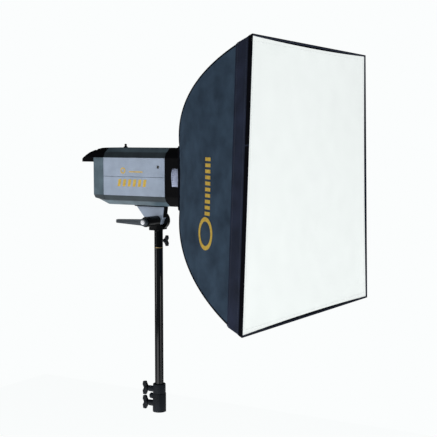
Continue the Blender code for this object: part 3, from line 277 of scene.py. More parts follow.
def new_material(name, **constants):
    """An empty Principled material with some sockets set: its tree and its shader."""
    made = bpy.data.materials.new(name)
    made.use_nodes = True
    shader = made.node_tree.nodes["Principled BSDF"]
    for key, value in constants.items():
        shader.inputs[key.replace("_", " ")].default_value = value
    return made, made.node_tree, shader


def shade(tree, shader, value, low, high):
    """Colours a shader by a value, between two (value, colour) stops."""
    ramp = add(tree, "ShaderNodeValToRGB", {"Fac": value})
    for stop, (position, code) in zip(ramp.color_ramp.elements, (low, high)):
        stop.position, stop.color = position, linear(code)
    tree.links.new(ramp.outputs["Color"], shader.inputs["Base Color"])


def emboss(tree, shader, height, relief):
    """Raises a shader's surface by a height from 0 to 1, times relief in metres."""
    bump = add(tree, "ShaderNodeBump", {"Height": height, "Distance": relief, "Strength": 1.0})
    tree.links.new(bump.outputs[0], shader.inputs["Normal"])


def grained(name, dark, light, grain, relief, rough, stretch=(1, 1, 1), cloud=0.03, **constants):
    """A hard finish that drifts between two shades in clouds, with a fine grain in its roughness and relief.

    grain and cloud are sizes in metres, and relief is the height of the grain in metres.
    """
    made, tree, shader = new_material(name, **constants)
    place = add(tree, "ShaderNodeTexCoord").outputs["Object"]
    drift = add(tree, "ShaderNodeTexNoise", {"Vector": place, "Scale": 1 / cloud, "Detail": 3.0})
    long = add(tree, "ShaderNodeMapping", {"Vector": place, "Scale": stretch})
    fine = add(tree, "ShaderNodeTexNoise", {"Vector": long.outputs[0], "Scale": 1 / grain, "Detail": 2.0})
    grain_share = fine.outputs["Fac"]
    both = add(tree, "ShaderNodeMath", {0: drift.outputs["Fac"], 1: grain_share}, operation="MULTIPLY")
    shade(tree, shader, both.outputs[0], (0.12, dark), (0.42, light))
    spread = {"Value": grain_share, "To Min": rough[0], "To Max": rough[1]}
    tree.links.new(add(tree, "ShaderNodeMapRange", spread).outputs[0], shader.inputs["Roughness"])
    emboss(tree, shader, grain_share, relief)
    return made


def paint_shade_strip(material, inner, outer, share):
    """Paints shade into a finish: darkens it to a share where its height from the light's axis is between
    inner and outer.
    """
    tree = material.node_tree
    shader = tree.nodes["Principled BSDF"]
    base = shader.inputs["Base Color"].links[0].from_socket
    place = add(tree, "ShaderNodeTexCoord").outputs["Object"]
    reach = add(tree, "ShaderNodeSeparateXYZ", {0: place}).outputs["Z"]
    middle, half, soft = (inner + outer) / 2, (outer - inner) / 2, 0.0015
    for level in (AXIS_Z, middle):
        away = add(tree, "ShaderNodeMath", {0: reach, 1: level}, operation="SUBTRACT").outputs[0]
        reach = add(tree, "ShaderNodeMath", {0: away}, operation="ABSOLUTE").outputs[0]
    ends = {"From Min": half - soft, "From Max": half + soft, "To Min": share, "To Max": 1.0}
    # Where the darker strip of painted shade lies.
    strip = add(tree, "ShaderNodeMapRange", {"Value": reach, **ends})
    shaded = add(tree, "ShaderNodeVectorMath", {0: base, 1: strip.outputs[0]}, operation="MULTIPLY")
    tree.links.new(shaded.outputs[0], shader.inputs["Base Color"])
    return material


def woven(name, thread_dark, thread_light, pitch, relief, rough, cloud=0.05, **constants):
    """A woven cloth: two crossed waves of threads on the cloth's own UV map, which is in metres of cloth."""
    made, tree, shader = new_material(name, Roughness=rough, **constants)
    place = add(tree, "ShaderNodeUVMap", uv_map="cloth").outputs[0]
    turns = WAVE_TURN / pitch
    wave = {"Vector": place, "Scale": turns, "Distortion": 0.6, "Detail": 1.0, "Detail Scale": 2.0}
    waves = [add(tree, "ShaderNodeTexWave", wave, bands_direction=way).outputs["Fac"] for way in ("X", "Y")]
    thread = add(tree, "ShaderNodeMath", {0: waves[0], 1: waves[1]}, operation="MULTIPLY").outputs[0]
    drift = add(tree, "ShaderNodeTexNoise", {"Vector": place, "Scale": 1 / cloud, "Detail": 4.0})
    blend = {0: thread, 1: 0.45, 2: drift.outputs["Fac"]}
    tint = add(tree, "ShaderNodeMath", blend, operation="MULTIPLY_ADD").outputs[0]
    shade(tree, shader, tint, (0.3, thread_dark), (0.95, thread_light))
    emboss(tree, shader, thread, relief)
    return made


def make_materials(look):
    """Every finish on the object, by a maker's name for it."""
    # Powder paint on die-cast aluminium: a soft satin with an orange-peel skin about 1 mm across. Each
    # shoulder carries a strip of painted shade, darker colour that stands in for the shade and dark
    # reflections on its curve.
    case_paint = grained(
        "slate_powder_paint", "41535E", "647985", 0.0011, 0.00003, (0.4, 0.52),
        Metallic=0.1, Specular_IOR_Level=0.35,
    )
    made = [
        # The darker strip on each shoulder is painted shade.
        paint_shade_strip(case_paint, *SHOULDER_SHADE_STRIP, 0.26),
        # Silver lacquer with aluminium flake: brighter where it faces the light.
        grained(
            "silver_lacquer", "8C99AB", "9DAABE", 0.0005, 0.00001, (0.36, 0.48), Metallic=0.35,
            Coat_Weight=0.15
        ),
        # ABS moulded against an etched tool: a fine pebble that kills most of the gloss.
        grained(
            "moulded_black_abs", "040407", "08080B", 0.0008, 0.00004, (0.5, 0.66), Specular_IOR_Level=0.05
        ),
        # The control panel: black film over a flat plate, smoother than the mouldings round it.
        grained("panel_film", "121519", "1A1E23", 0.0006, 0.00001, (0.42, 0.5), Specular_IOR_Level=0.35),
        # Glass-filled nylon, which keeps a dull speckle of fibre at its skin.
        grained("filled_nylon", "080C12", "141A23", 0.0009, 0.00005, (0.45, 0.62), Specular_IOR_Level=0.15),
        # Gloss black lacquer on drawn steel tube, with faint streaks along the tube.
        grained(
            "gloss_tube_lacquer", "040609", "070A0F", 0.0012, 0.000002, (0.06, 0.12),
            stretch=(1, 1, 0.06), Specular_IOR_Level=0.55
        ),
        # Black enamel over an aluminium casting: glossy, with the casting's slight waviness.
        grained(
            "black_casting_enamel", "020406", "04070A", 0.0022, 0.00003, (0.18, 0.28),
            Specular_IOR_Level=0.14
        ),
        # Satin anodised aluminium, turned on a lathe, so its lines run round the light's axis.
        grained("satin_anodised", "7D849A", "969DB3", 0.0009, 0.00001, (0.3, 0.42), Metallic=0.85),
        # Aluminium as cast and tumbled: paler and rougher than the turned ring.
        grained("tumbled_aluminium", "8F959C", "B4BAC1", 0.0014, 0.00003, (0.35, 0.5), Metallic=1.0),
        # Zinc plating on steel, with its cool cloudy spangle.
        grained("zinc_plate", "8E9297", "B5B9BE", 0.0008, 0.00001, (0.25, 0.4), Metallic=1.0, cloud=0.006),
        # Polypropylene lever, moulded in grey, waxy and soft to the light.
        grained(
            "grey_polypropylene", "2C343B", "424B54", 0.0010, 0.00003, (0.42, 0.55),
            Specular_IOR_Level=0.4
        ),
        # A polished acetal cap: near white with a tight highlight.
        grained("white_acetal", "E4E5EC", "F6F7FB", 0.0010, 0.000002, (0.12, 0.2), Coat_Weight=0.5),
        # Polished brass, slightly dulled by handling.
        grained("polished_brass", "84714F", "B09B74", 0.0006, 0.000004, (0.22, 0.34), Metallic=1.0),
        # Clear borosilicate of the flash tube and the lamp: it bends what lies behind it.
        new_material(
            "clear_glass", Base_Color=linear("F2F7F8"), Roughness=0.03, Transmission_Weight=1.0, IOR=1.5
        )[0],
        # Glazed lamp holder: warm white with a hard gloss.
        grained("glazed_ceramic", "DAD6CB", "ECE8DE", 0.0015, 0.00001, (0.2, 0.3)),
        # Blue shrink sleeve of the capacitors, smooth and slightly shiny.
        grained("shrink_sleeve", "18273F", "24395C", 0.0012, 0.00001, (0.25, 0.35)),
        # Green solder mask of the board.
        grained("solder_mask", "164628", "226340", 0.0010, 0.00001, (0.3, 0.45)),
        # Red ABS of the test button and the rocker, polished in the mould.
        grained("polished_red_abs", "8E1512", "B8231E", 0.0010, 0.000004, (0.2, 0.3)),
        # Grey ABS of the other buttons, satin from a blasted tool.
        grained("satin_grey_abs", "7D838A", "989EA5", 0.0010, 0.00001, (0.38, 0.48)),
        # Gold screen print: a slightly raised, dry ink.
        grained("gold_print", "BE9A35", "E4C356", 0.0007, 0.00001, (0.4, 0.55), Metallic=0.25, cloud=0.006),
        # Black nylon pack cloth. Its thread is 0.4 mm, drawn at 1.8 mm so that the weave shows.
        woven(
            "nylon_pack_cloth", look.cloth_dark, look.cloth_light, 0.0018, 0.00012, 0.72,
            Specular_IOR_Level=0.12
        ),
        # The stiffened lip: the same cloth doubled, a little darker and more violet.
        woven("doubled_nylon", "171B27", "2B3247", 0.0018, 0.00012, 0.74, Specular_IOR_Level=0.1),
        # Hook-and-loop tape: a matt nap that returns almost no light.
        woven("loop_tape", "040408", "0B0C13", 0.0012, 0.0002, 0.95, Specular_IOR_Level=0.05),
        # White rip-stop nylon. Its glow is painted light: an emission that stands in for the light of the
        # modelling lamp behind it.
        woven(
            "white_ripstop", "E4E9E7", "F4F9F7", 0.0022, 0.00005, 0.8,
            Emission_Color=linear("F6FBFA"), Emission_Strength=0.49
        ),
        # Bonded polyester thread, a shade paler than the cloth so that its stitches read.
        woven("bonded_thread", "39424F", "5A6675", 0.0010, 0.00005, 0.7),
        # The same thread in white, in the diffuser's hem.
        woven("white_thread", "DDE2E1", "F4F7F6", 0.0010, 0.00005, 0.7),
    ]
    return {finish.name: finish for finish in made}


# ---------------------------------------------------------------- softbox shapes

def side_curve(share):
    """x, half width and slope of a side at a share of the way forward: a quadratic Bezier curve."""
    share = np.asarray(share, float)
    rest = 1 - share
    weights = (REAR, rest**2), (BULGE, 2 * rest * share), (FRONT, share**2)
    point = sum(control * weight[..., None] for control, weight in weights)
    slope = (BULGE - REAR) * rest[..., None] + (FRONT - BULGE) * share[..., None]
    return point[..., 0], point[..., 1], np.arctan2(slope[..., 1], slope[..., 0])


def settle(x, y, z, share):
    """Where a point goes when the frame leans, twists and sags by the square of its share forwards."""
    weight = np.asarray(share) ** 2
    side, level = y / LIP_FRONT_HALF, z / LIP_FRONT_HALF
    shift = (LEAN * level - TWIST * side * level) * weight
    return np.stack(np.broadcast_arrays(x + shift, y, AXIS_Z + z - SAG * weight), -1)


def ripple(u, v, seed):
    """A calm random wave: the mean of a few sines of u and v, whose directions and phases are drawn."""
    draw = np.random.default_rng(seed)
    across, along, phase = draw.normal(0, 5, 7), draw.normal(0, 5, 7), draw.uniform(0, 2 * math.pi, 7)
    turns = u[..., None] * across + v[..., None] * along + phase
    return np.sin(turns).mean(-1)


def side_point(direction, share, along, depth, look, seed):
    """A point of a side panel, whose cloth dishes inwards between the rods and carries soft pull folds.

    The dish is a parabola across and a half sine forwards. The folds fan out from the rear corners and
    die away.
    """
    x, half, slope = side_curve(share)
    across = along * (half - CLOTH)
    dish = look.dish * (1 - along**2) * np.sin(math.pi * share)
    fan = np.sin((along**2 * 9 + share * 5) * math.pi) * np.exp(-4 * share) * (1 - along**4)
    wander = ripple(share, along, seed) * (1 - along**4)
    folds = look.folds * (wander + 0.5 * fan) * np.sin(math.pi * share**0.6)
    inward = depth + dish + folds + 0.4 * look.folds
    x = x + np.sin(slope) * inward
    out = half - np.cos(slope) * inward
    side, level = direction
    return settle(x, side * out - level * across, level * out + side * across, share)


def make_side(name, direction, look, seed):
    """One panel of the softbox, with two faces and a rim, and a UV map in metres of cloth."""
    share, along = np.meshgrid(np.linspace(0, 1, 90), np.linspace(-1, 1, 111), indexing="ij")
    outer = side_point(direction, share, along, 0.0, look, seed)
    inner = side_point(direction, share, along, CLOTH, look, seed)
    points, faces = shell(outer, inner)
    _, half, _ = side_curve(share)
    steps = np.linalg.norm(np.diff(outer[:, along.shape[1] // 2], axis=0), axis=1)
    length = np.concatenate([[0], np.cumsum(steps)])
    uv = np.stack([along * half, np.broadcast_to(length[:, None], along.shape)], -1)
    piece = make_piece(
        name + "_cloth", points, faces, "nylon_pack_cloth", "softbox", np.concatenate([uv, uv])
    )
    width = 2 * float(half[-1, 0])
    area = float((2 * half[:, 0])[:-1] @ steps)
    return replace(piece, name), (round(width, 3), round(float(length[-1]), 3)), round(area, 4)


def make_seams(look):
    """A corded seam over each rod, where two panels meet: a bar swept along the corner's curve."""
    seams = {}
    for name, (side, level) in CORNERS.items():
        share = np.linspace(0, 1, 80)
        x, half, _ = side_curve(share)
        path = settle(x, side * (half - 0.0007), level * (half - 0.0007), share)
        seams[name] = swept(
            f"corner_seam_{name}", path, look.seam_radius, "loop_tape", "softbox", 10
        )
    return seams


def rod_path(side, level):
    """The middle line of a rod, a fixed distance inside the panels' curve."""
    share = np.linspace(0, 1, 60)
    x, half, slope = side_curve(share)
    half = half - ROD_INSET * np.cos(slope)
    return settle(x + ROD_INSET * np.sin(slope), side * half, level * half, share)


def square_loop(s):
    """(y, z) at a distance s round a square of half width 1: two triangle waves, clipped."""
    wave = [np.abs((s + lead) % 8 - 4) - 2 for lead in (0, 2)]
    return np.clip(wave[0], -1, 1), np.clip(wave[1], -1, 1)


def square_band(profile, s):
    """Carries a profile of (x, half width) round the square: rows go along the profile, columns round it."""
    y, z = square_loop(s)
    x, half = np.array(profile, float).T
    return settle(x[:, None] + 0 * y, half[:, None] * y, half[:, None] * z, 1.0)


def band_piece(name, profile, finish):
    """A closed band of cloth round the front, from a closed profile."""
    s = np.arange(8 * 30) / 30
    points = square_band(profile, s)
    rows, columns = points.shape[:2]
    faces = grid_quads(rows, columns, wrap_rows=True, wrap_columns=True)
    down = np.concatenate([[0], np.cumsum(np.linalg.norm(np.diff(np.array(profile), axis=0), axis=1))])
    uv = np.stack(np.broadcast_arrays(s * LIP_FRONT_HALF, down[:, None]), -1)
    return make_piece(name, points, faces, finish, "softbox", uv, sharp=50)


def stitch_row(name, starts, ends, out, size, finish):
    """A row of stitches, each a low lozenge of eight faces from its start to its end, raised along out."""
    starts, ends, out = np.asarray(starts, float), np.asarray(ends, float), np.asarray(out, float)
    along = ends - starts
    side = np.cross(along, out)
    side /= np.linalg.norm(side, axis=1, keepdims=True)
    middle = (starts + ends) / 2
    ring = [side, out, -side, -out]
    first = np.stack([starts] * 4, 1)
    wide = np.stack([middle + part * size for part in ring], 1)
    last = np.stack([ends] * 4, 1)
    points = np.stack([first, wide, last], 1)
    faces = grid_quads(3, 4, wrap_columns=True)
    offsets = np.arange(len(starts))[:, None, None] * 12
    uv = np.zeros((len(starts) * 12, 2))
    return make_piece(name, points, faces[None] + offsets, finish, "softbox", uv, sharp=80)


def stitches_along(path, out, pitch, fill=0.7):
    """Starts, ends and outward directions of stitches laid along a path at a real pitch."""
    steps = np.linalg.norm(np.diff(path, axis=0), axis=1)
    length = np.concatenate([[0], np.cumsum(steps)])
    at = np.arange(pitch, length[-1] - pitch, pitch)

    def sample(values, places):
        return np.stack([np.interp(places, length, values[:, k]) for k in range(3)], -1)

    return sample(path, at), sample(path, at + pitch * fill), sample(out, at)


# ---------------------------------------------------------------- softbox front and rear

LIP_REAR_X = 0.3745
LIP_CLOTH = 0.0014
LIP_SLOPE = (LIP_FRONT_HALF - LIP_REAR_HALF) / (LIP_FRONT_X - FRONT[0])
GROOVE_END_X, HEM_START_X, HEM_END_X = 0.3778, 0.4064, 0.4090
TAPE_JOINT, TAPE_BREAK = 4.28, 0.006
DIFFUSER_X, DIFFUSER_HALF = 0.4163, 0.2972
SKIRT_X, SKIRT_BORE, SKIRT_HALF, SKIRT_CLOTH = 0.1031, 0.0605, 0.0752, 0.0007


def lip_line(x, proud=0.0):
    """(x, half width) on the lip's slanted outer face, raised by proud."""
    return x, LIP_REAR_HALF + (x - FRONT[0]) * LIP_SLOPE + proud


def make_lip():
    """The stiffened lip: a band with a sewn groove behind, a raised hem and dark tape along its front."""
    groove, hem, step = 0.0008, 0.0005, 0.0006
    stations = [
        (LIP_REAR_X, -0.0003), (LIP_REAR_X + groove, -groove), (GROOVE_END_X - groove, -groove),
        (GROOVE_END_X, 0.0), (HEM_START_X, 0.0), (HEM_START_X + step, hem), (HEM_END_X - step, hem),
        (HEM_END_X, 0.0), (LIP_FRONT_X - 0.0004, -0.0002), (LIP_FRONT_X, -0.0006),
    ]
    outside = [lip_line(x, proud) for x, proud in stations]
    inside = [(LIP_FRONT_X, outside[-1][1] - LIP_CLOTH), (LIP_REAR_X, outside[0][1] - LIP_CLOTH)]
    lip = replace(band_piece("front_lip_cloth", outside + inside, "doubled_nylon"), "front_lip")
    span = np.linspace(TAPE_JOINT + TAPE_BREAK, TAPE_JOINT + 8 - TAPE_BREAK, 240)
    span = np.sort(np.concatenate([span, np.arange(5, 13, 2)]))
    start, end, top, foot = HEM_END_X + 0.0006, LIP_FRONT_X - 0.0002, 0.0008, -0.0001
    tape_profile = [lip_line(x, proud) for x, proud in ((start, top), (end, top), (end, foot), (start, foot))]
    points = square_band(tape_profile, span)
    faces = grid_quads(4, len(span), wrap_rows=True)
    last = len(span) - 1
    caps = np.array([[0, 1, 2, 3], [3, 2, 1, 0]]) * len(span) + np.array([[0], [last]])
    uv = np.stack(np.broadcast_arrays(span * LIP_FRONT_HALF, np.array([0, 0.014, 0.015, 0.029])[:, None]), -1)
    tape = make_piece(
        "lip_hook_tape", points, np.concatenate([faces, caps]), "loop_tape", "softbox", uv, 50
    )
    places = {"rear": GROOVE_END_X + 0.0022, "front": HEM_START_X - 0.0018}
    rows = [sew_round(f"lip_stitches_{end}", x) for end, x in places.items()]
    flange = band_piece("diffuser_flange", diffuser_flange(), "loop_tape")


def diffuser_flange():
    """The profile of the black strip that the diffuser is pressed against, behind it."""
    rear, front = DIFFUSER_X - 0.0016, DIFFUSER_X - 0.0006
    outer, inner = DIFFUSER_HALF + 0.0004, DIFFUSER_HALF - 0.022
    return [(rear, outer), (front, outer), (front, inner), (rear, inner)]


def sew_round(name, x):
    """A row of stitches round the lip at x."""
    s = np.arange(0, 8.0001, 1 / 40)
    path = square_band([lip_line(x, 0.0001)], s)[0]
    y, z = square_loop(s)
    out = np.stack([0 * y, np.where(np.abs(y) > 0.999, y, 0), np.where(np.abs(z) > 0.999, z, 0)], -1)
    out /= np.linalg.norm(out, axis=1, keepdims=True)
    starts, ends, way = stitches_along(path, out, 0.005)
    return stitch_row(name, starts, ends, way, 0.0006, "bonded_thread")


def make_diffuser(look):
    """The white front cloth. Its edges bow in between the corners as a parabola, and its face dishes in.

    Small pull folds, a sine that dies away exponentially, run inwards from its corners.
    """
    v, u = np.meshgrid(np.linspace(-1, 1, 120), np.linspace(-1, 1, 120), indexing="ij")
    y = DIFFUSER_HALF * u * (1 - look.edge_bow / DIFFUSER_HALF * (1 - v**2))
    z = DIFFUSER_HALF * v * (1 - look.edge_bow / DIFFUSER_HALF * (1 - u**2))
    pull = np.exp(-9 * (1 - np.abs(u))) * np.exp(-9 * (1 - np.abs(v))) * np.sin(40 * (np.abs(u) - np.abs(v)))
    folds = look.diffuser_folds * (0.5 + 0.5 * ripple(u, v, 21))
    dish = look.diffuser_dish * (1 - u**2) * (1 - v**2) + folds + 0.0004 * pull
    front = settle(DIFFUSER_X + CLOTH - dish * (1 - np.abs(u) ** 12) * (1 - np.abs(v) ** 12), y, z, 1.0)
    back = front - np.array([CLOTH, 0, 0])
    points, faces = shell(front, back)
    uv = np.stack([u, v], -1) * DIFFUSER_HALF
    cloth = make_piece(
        "front_diffuser_cloth", points, faces, "white_ripstop", "softbox", np.concatenate([uv, uv])
    )
    replace(cloth, "front_diffuser")
    s = np.arange(0, 8.0001, 1 / 40)
    y, z = square_loop(s)
    inset = DIFFUSER_HALF - look.edge_bow - 0.006
    path = settle(DIFFUSER_X + CLOTH + 0 * y, inset * y, inset * z, 1.0)
    out = np.broadcast_to((1.0, 0.0, 0.0), path.shape)
    starts, ends, way = stitches_along(path, out, 0.006)
    sewn = stitch_row("diffuser_stitches", starts, ends, way, 0.0004, "white_thread")


def make_skirt():
    """The sleeve behind the speed ring: a round opening that blends to a square, which turns forward."""
    s = np.arange(8 * 24) / 24
    y, z = square_loop(s)
    round_y, round_z = y / np.hypot(y, z), z / np.hypot(y, z)
    blend = np.array([0, 0, 0.1, 0.45, 1, 1, 1, 1, 1])
    reach = np.array([0, 0.02, 0.12, 0.36, 0.62, 0.86, 0.98, 1, 1])
    radius = SKIRT_BORE + (SKIRT_HALF - SKIRT_BORE) * reach
    x = SKIRT_X + np.array([0.0006, 0, 0, 0, 0.0002, 0.0030, 0.0055, 0.0075, 0.0102])

    def layer(inset):
        across = radius - inset * reach
        flat_y = across[:, None] * (round_y * (1 - blend[:, None]) + y * blend[:, None])
        flat_z = across[:, None] * (round_z * (1 - blend[:, None]) + z * blend[:, None])
        return settle(x[:, None] + inset + 0 * flat_y, flat_y, flat_z, 0.0)

    points = np.concatenate([layer(0.0), layer(SKIRT_CLOTH)[::-1]])
    rows, columns = points.shape[:2]
    faces = grid_quads(rows, columns, wrap_rows=True, wrap_columns=True)
    run = np.linalg.norm(np.diff(points, axis=0), axis=2)
    down = np.concatenate([[0], np.cumsum(run.mean(1))])
    uv = np.stack(np.broadcast_arrays(s * SKIRT_HALF, down[:, None]), -1)
    skirt = make_piece("rear_skirt_cloth", points, faces, "loop_tape", "softbox", uv)


# ---------------------------------------------------------------- printed marks

def on_cloth(x, z, depth, look):
    """The point of the right-hand panel at x and at a height z from the axis."""
    table = np.linspace(0, 1, 400)
    share = np.interp(x, side_curve(table)[0], table)
    _, half, _ = side_curve(share)
    return side_point((RIGHT, 0), share, -z / (half - CLOTH), depth, look, FIRST_SEED)


def print_patch(name, x, z, look, columns_wrap=False):
    """A thin skin of ink on the cloth over a grid of (x, z)."""
    outer, inner = on_cloth(x, z, -0.0003, look), on_cloth(x, z, 0.0002, look)
    if columns_wrap:
        points = np.stack([outer[0], outer[1], inner[1], inner[0]])
        faces = grid_quads(4, points.shape[1], wrap_rows=True, wrap_columns=True)
    else:
        points, faces = shell(outer, inner)
    return make_piece(name, points, faces, "gold_print", "softbox", sharp=60)


def make_cloth_marks(look):
    """Plain gold marks on the right-hand panel: an oval ring, and a column of dashes above it."""
    turn = np.linspace(0, 2 * math.pi, 72, endpoint=False)
    size = np.array([[1.0], [0.74]])
    ring = print_patch(
        "cloth_print_ring", look.mark_x - look.ring_shift + look.ring_width / 2 * size * np.cos(turn),
        look.ring_z + look.ring_height / 2 * size * np.sin(turn), look, True,
    )
    dashes = []
    for i in range(look.dash_count):
        low = look.dash_start + i * look.dash_pitch
        heights = np.linspace(low, low + look.dash_pitch * 0.60, 4)
        places = np.linspace(look.mark_x - look.dash_width / 2, look.mark_x + look.dash_width / 2, 7)
        z, x = np.meshgrid(heights, places, indexing="ij")
        dashes.append(print_patch(f"cloth_print_dash_{i}", x, z, look))
    return [ring, *dashes]


def slab(name, outline, y, thick):
    """A flat mark on the side of the head: four corners (x, z), given a thickness along y."""
    corners = np.array([[x, y, z] for x, z in outline])
    points = np.concatenate([corners, corners + np.array([0, thick, 0])])
    return make_piece(name, points, BLOCK, "gold_print", "head", sharp=30)


def make_head_marks(look):
    """Plain gold marks on both sides of the head: a small ring, a thin line, and a row of slanted bars."""
    for side_name, side in (("right", RIGHT), ("left", LEFT)):
        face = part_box(f"side_panel_{side_name}_upper")[0 if side == RIGHT else 1].y
        ink = side * look.ink
        centre = (look.badge_x, face, AXIS_Z + look.badge_z)
        outer, inner = look.badge_radius, look.badge_radius * 0.62
        turned(
            f"head_print_ring_{side_name}", centre, (0, side, 0),
            [(0, inner), (0, outer), (look.ink, outer), (look.ink, inner)], "gold_print", "head", 40, True,
        )
        x0, z0 = look.line_x, AXIS_Z + look.badge_z - 0.004
        line = [(x0, z0), (x0 + 0.040, z0), (x0 + 0.040, z0 + 0.0028), (x0, z0 + 0.0028)]
        slab(f"head_print_line_{side_name}", line, face, ink)
        for i in range(look.bar_count):
            x = look.bar_x + i * look.bar_pitch
            low, high = AXIS_Z + look.bar_z - look.bar_height / 2, AXIS_Z + look.bar_z + look.bar_height / 2
            lean, wide = 0.0035, look.bar_pitch * 0.56
            bar = [(x, low), (x + wide, low), (x + wide + lean, high), (x + lean, high)]
            slab(f"head_print_bar_{side_name}_{i}", bar, face, ink)


# ---------------------------------------------------------------- hard pieces with a surface of their own

def round_piece(name, node, axis, profile, finish, sides=64, closed=False, centre=None, soft=0.0006):
    """A turned piece about the middle of a node's box, which it replaces."""
    low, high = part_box(node)
    centre = (low + high) / 2 if centre is None else centre
    if not closed:
        profile = soften(profile, soft)
    made = turned(name, centre, axis, profile, finish, frame["nodes"][node]["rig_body"], sides, closed)
    return replace(made, node)


def fluted(name, node, stations, finish, flutes, depth, bore=0.0):
    """A turned piece about X whose outer radius dips by depth * ((1 + cos(flutes * turn)) / 2) squared.

    stations are (x, radius, how much of the dip). A bore makes it a ring.
    """
    low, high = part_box(node)
    centre_y, centre_z = (low.y + high.y) / 2, (low.z + high.z) / 2
    turn = np.linspace(0, 2 * math.pi, flutes * 6, endpoint=False)
    x, radius, dip = np.array(stations, float).T
    wave = depth * (0.5 + 0.5 * np.cos(flutes * turn)) ** 2
    reach = radius[:, None] - dip[:, None] * wave
    points = np.stack(
        [x[:, None] + 0 * turn, centre_y + reach * np.cos(turn), centre_z + reach * np.sin(turn)], -1
    )
    faces = grid_quads(len(x), len(turn), wrap_rows=bore > 0, wrap_columns=True)
    return replace(make_piece(name, points, faces, finish, frame["nodes"][node]["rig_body"]), node)


def make_lock_ring(look):
    """The ring that locks the softbox: turned bands at both ends, and grip flutes between them."""
    low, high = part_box("lock_ring")
    radius, bore = (high.z - low.z) / 2, look.ring_bore
    round_off, band, flute = 0.0006, 0.0030, 0.0034
    half = [
        (0, bore, 0), (0, radius - round_off, 0), (round_off, radius, 0),
        (band, radius, 0), (flute, radius, 1),
    ]
    stations = [(low.x + x, reach, dip) for x, reach, dip in half]
    stations += [(high.x - x, reach, dip) for x, reach, dip in half[::-1]]
    fluted("lock_ring_finished", "lock_ring", stations, "satin_anodised", look.ring_flutes, 0.0006, bore)


def make_dial(look):
    """The power dial: a fluted skirt, a domed face with a white pointer, and plain ticks on the panel."""
    low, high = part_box("power_dial")
    radius, y, z = (high.y - low.y) / 2, (low.y + high.y) / 2, (low.z + high.z) / 2
    foot = PANEL_X - 0.0003
    top = foot - look.dial_height
    stations = [
        (top - 0.0003, 0, 0), (top - 0.0002, radius * 0.55, 0), (top, radius * 0.76, 0),
        (top + 0.0008, radius * 0.84, 1), (foot - 0.0030, radius * 0.92, 1), (foot - 0.0025, radius, 0),
        (foot - 0.0003, radius, 0), (foot, radius - 0.0003, 0), (foot, 0, 0),
    ]
    fluted("power_dial_finished", "power_dial", stations, "moulded_black_abs", 24, 0.0007)
    width, start, end = 0.0009, 0.002, 0.0092
    outline = (-width, start), (width, start), (width, end), (-width, end)
    pointer = np.array([(top - 0.0008, y + a, z + b) for a, b in outline])
    points = np.concatenate([pointer, pointer + np.array([0.0014, 0, 0])])
    make_piece("dial_pointer", points, BLOCK, "white_acetal", "power_dial")
    turn = np.radians(np.linspace(-140, 140, look.tick_count))
    at = np.stack([0 * turn, np.sin(turn), np.cos(turn)], -1)
    side = np.stack([0 * turn, np.cos(turn), -np.sin(turn)], -1) * 0.0003
    centre = np.array((PANEL_X, y, z))
    low_end, high_end = centre + at * (radius + 0.002), centre + at * (radius + 0.0045)
    face = np.stack([low_end - side, low_end + side, high_end + side, high_end - side], 1)
    blocks = np.stack([face, face - np.array([0.0002, 0, 0])], 1).reshape(-1, 8, 3)
    offsets = np.arange(len(blocks))[:, None, None] * 8
    make_piece("dial_ticks", blocks, BLOCK[None] + offsets, "white_acetal", "head")


def make_buttons():
    """Three push buttons: a face dished as a shallow cosine, then a rounded rim and a straight side."""
    grey, red = "satin_grey_abs", "polished_red_abs"
    for name, finish in (("lamp_button", grey), ("slave_button", grey), ("test_button", red)):
        low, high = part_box(name)
        centre = (PANEL_X, (low.y + high.y) / 2, (low.z + high.z) / 2)
        height, back, collar = PANEL_X - low.x, high.x - PANEL_X, (high.z - low.z) / 2
        radius = collar - 0.0012
        share = np.linspace(0, 1, 8)
        dish = zip(0.0005 * np.cos(math.pi / 2 * share) - height, share * (radius - 0.0008))
        rim = [(-height + 0.0003, radius - 0.0002), (-height + 0.0008, radius)]
        collar_start = 0.0023
        foot = [(collar_start, radius), (collar_start, collar), (back, collar), (back, 0)]
        profile = [*dish, *rim, *foot]
        made = turned(name + "_finished", centre, (1, 0, 0), profile, finish, name, 40)
        replace(made, name)


def make_small_rounds():
    """The ready lamp's lens, the waisted light sensor, and the side screws with their sockets."""
    low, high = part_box("ready_lamp")
    radius, depth = (high.z - low.z) / 2, high.x - low.x
    dome = [(-depth * math.cos(a), radius * math.sin(a)) for a in np.linspace(0, math.pi / 2, 10)]
    centre = (high.x, (low.y + high.y) / 2, (low.z + high.z) / 2)
    profile = dome + [(0, 0)]
    round_piece("ready_lamp_lens", "ready_lamp", (1, 0, 0), profile, "polished_red_abs", 32, False, centre, 0)
    low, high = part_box("slave_sensor")
    foot = ((low.x + high.x) / 2, (low.y + high.y) / 2, low.z)
    skirt, tall = (high.x - low.x) / 2, high.z - low.z
    profile = [
        (0, 0), (0, skirt), (0.0015, skirt), (0.0020, skirt * 0.66), (tall * 0.40, skirt * 0.60),
        (tall * 0.42, skirt * 0.50), (tall * 0.70, skirt * 0.50), (tall * 0.72, skirt * 0.60),
        (tall * 0.92, skirt * 0.52), (tall, skirt * 0.25), (tall, 0),
    ]
    node = "slave_sensor"
    round_piece(node + "_finished", node, (0, 0, 1), profile, "moulded_black_abs", 40, False, foot, 0.0003)
    for side_name, side in (("right", RIGHT), ("left", LEFT)):
        node = "side_screw_" + side_name
        low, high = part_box(node)
        radius, thick = (high.z - low.z) / 2, high.y - low.y
        root = ((low.x + high.x) / 2, high.y if side == RIGHT else low.y, (low.z + high.z) / 2)
        profile = [
            (0, 0), (0, radius), (thick * 0.7, radius), (thick, radius * 0.9), (thick, radius * 0.58),
            (thick * 0.2, radius * 0.52), (thick * 0.2, 0),
        ]
        name, axis = node + "_finished", (0, side, 0)
        round_piece(name, node, axis, profile, "gloss_tube_lacquer", 36, False, root, 0.0001)


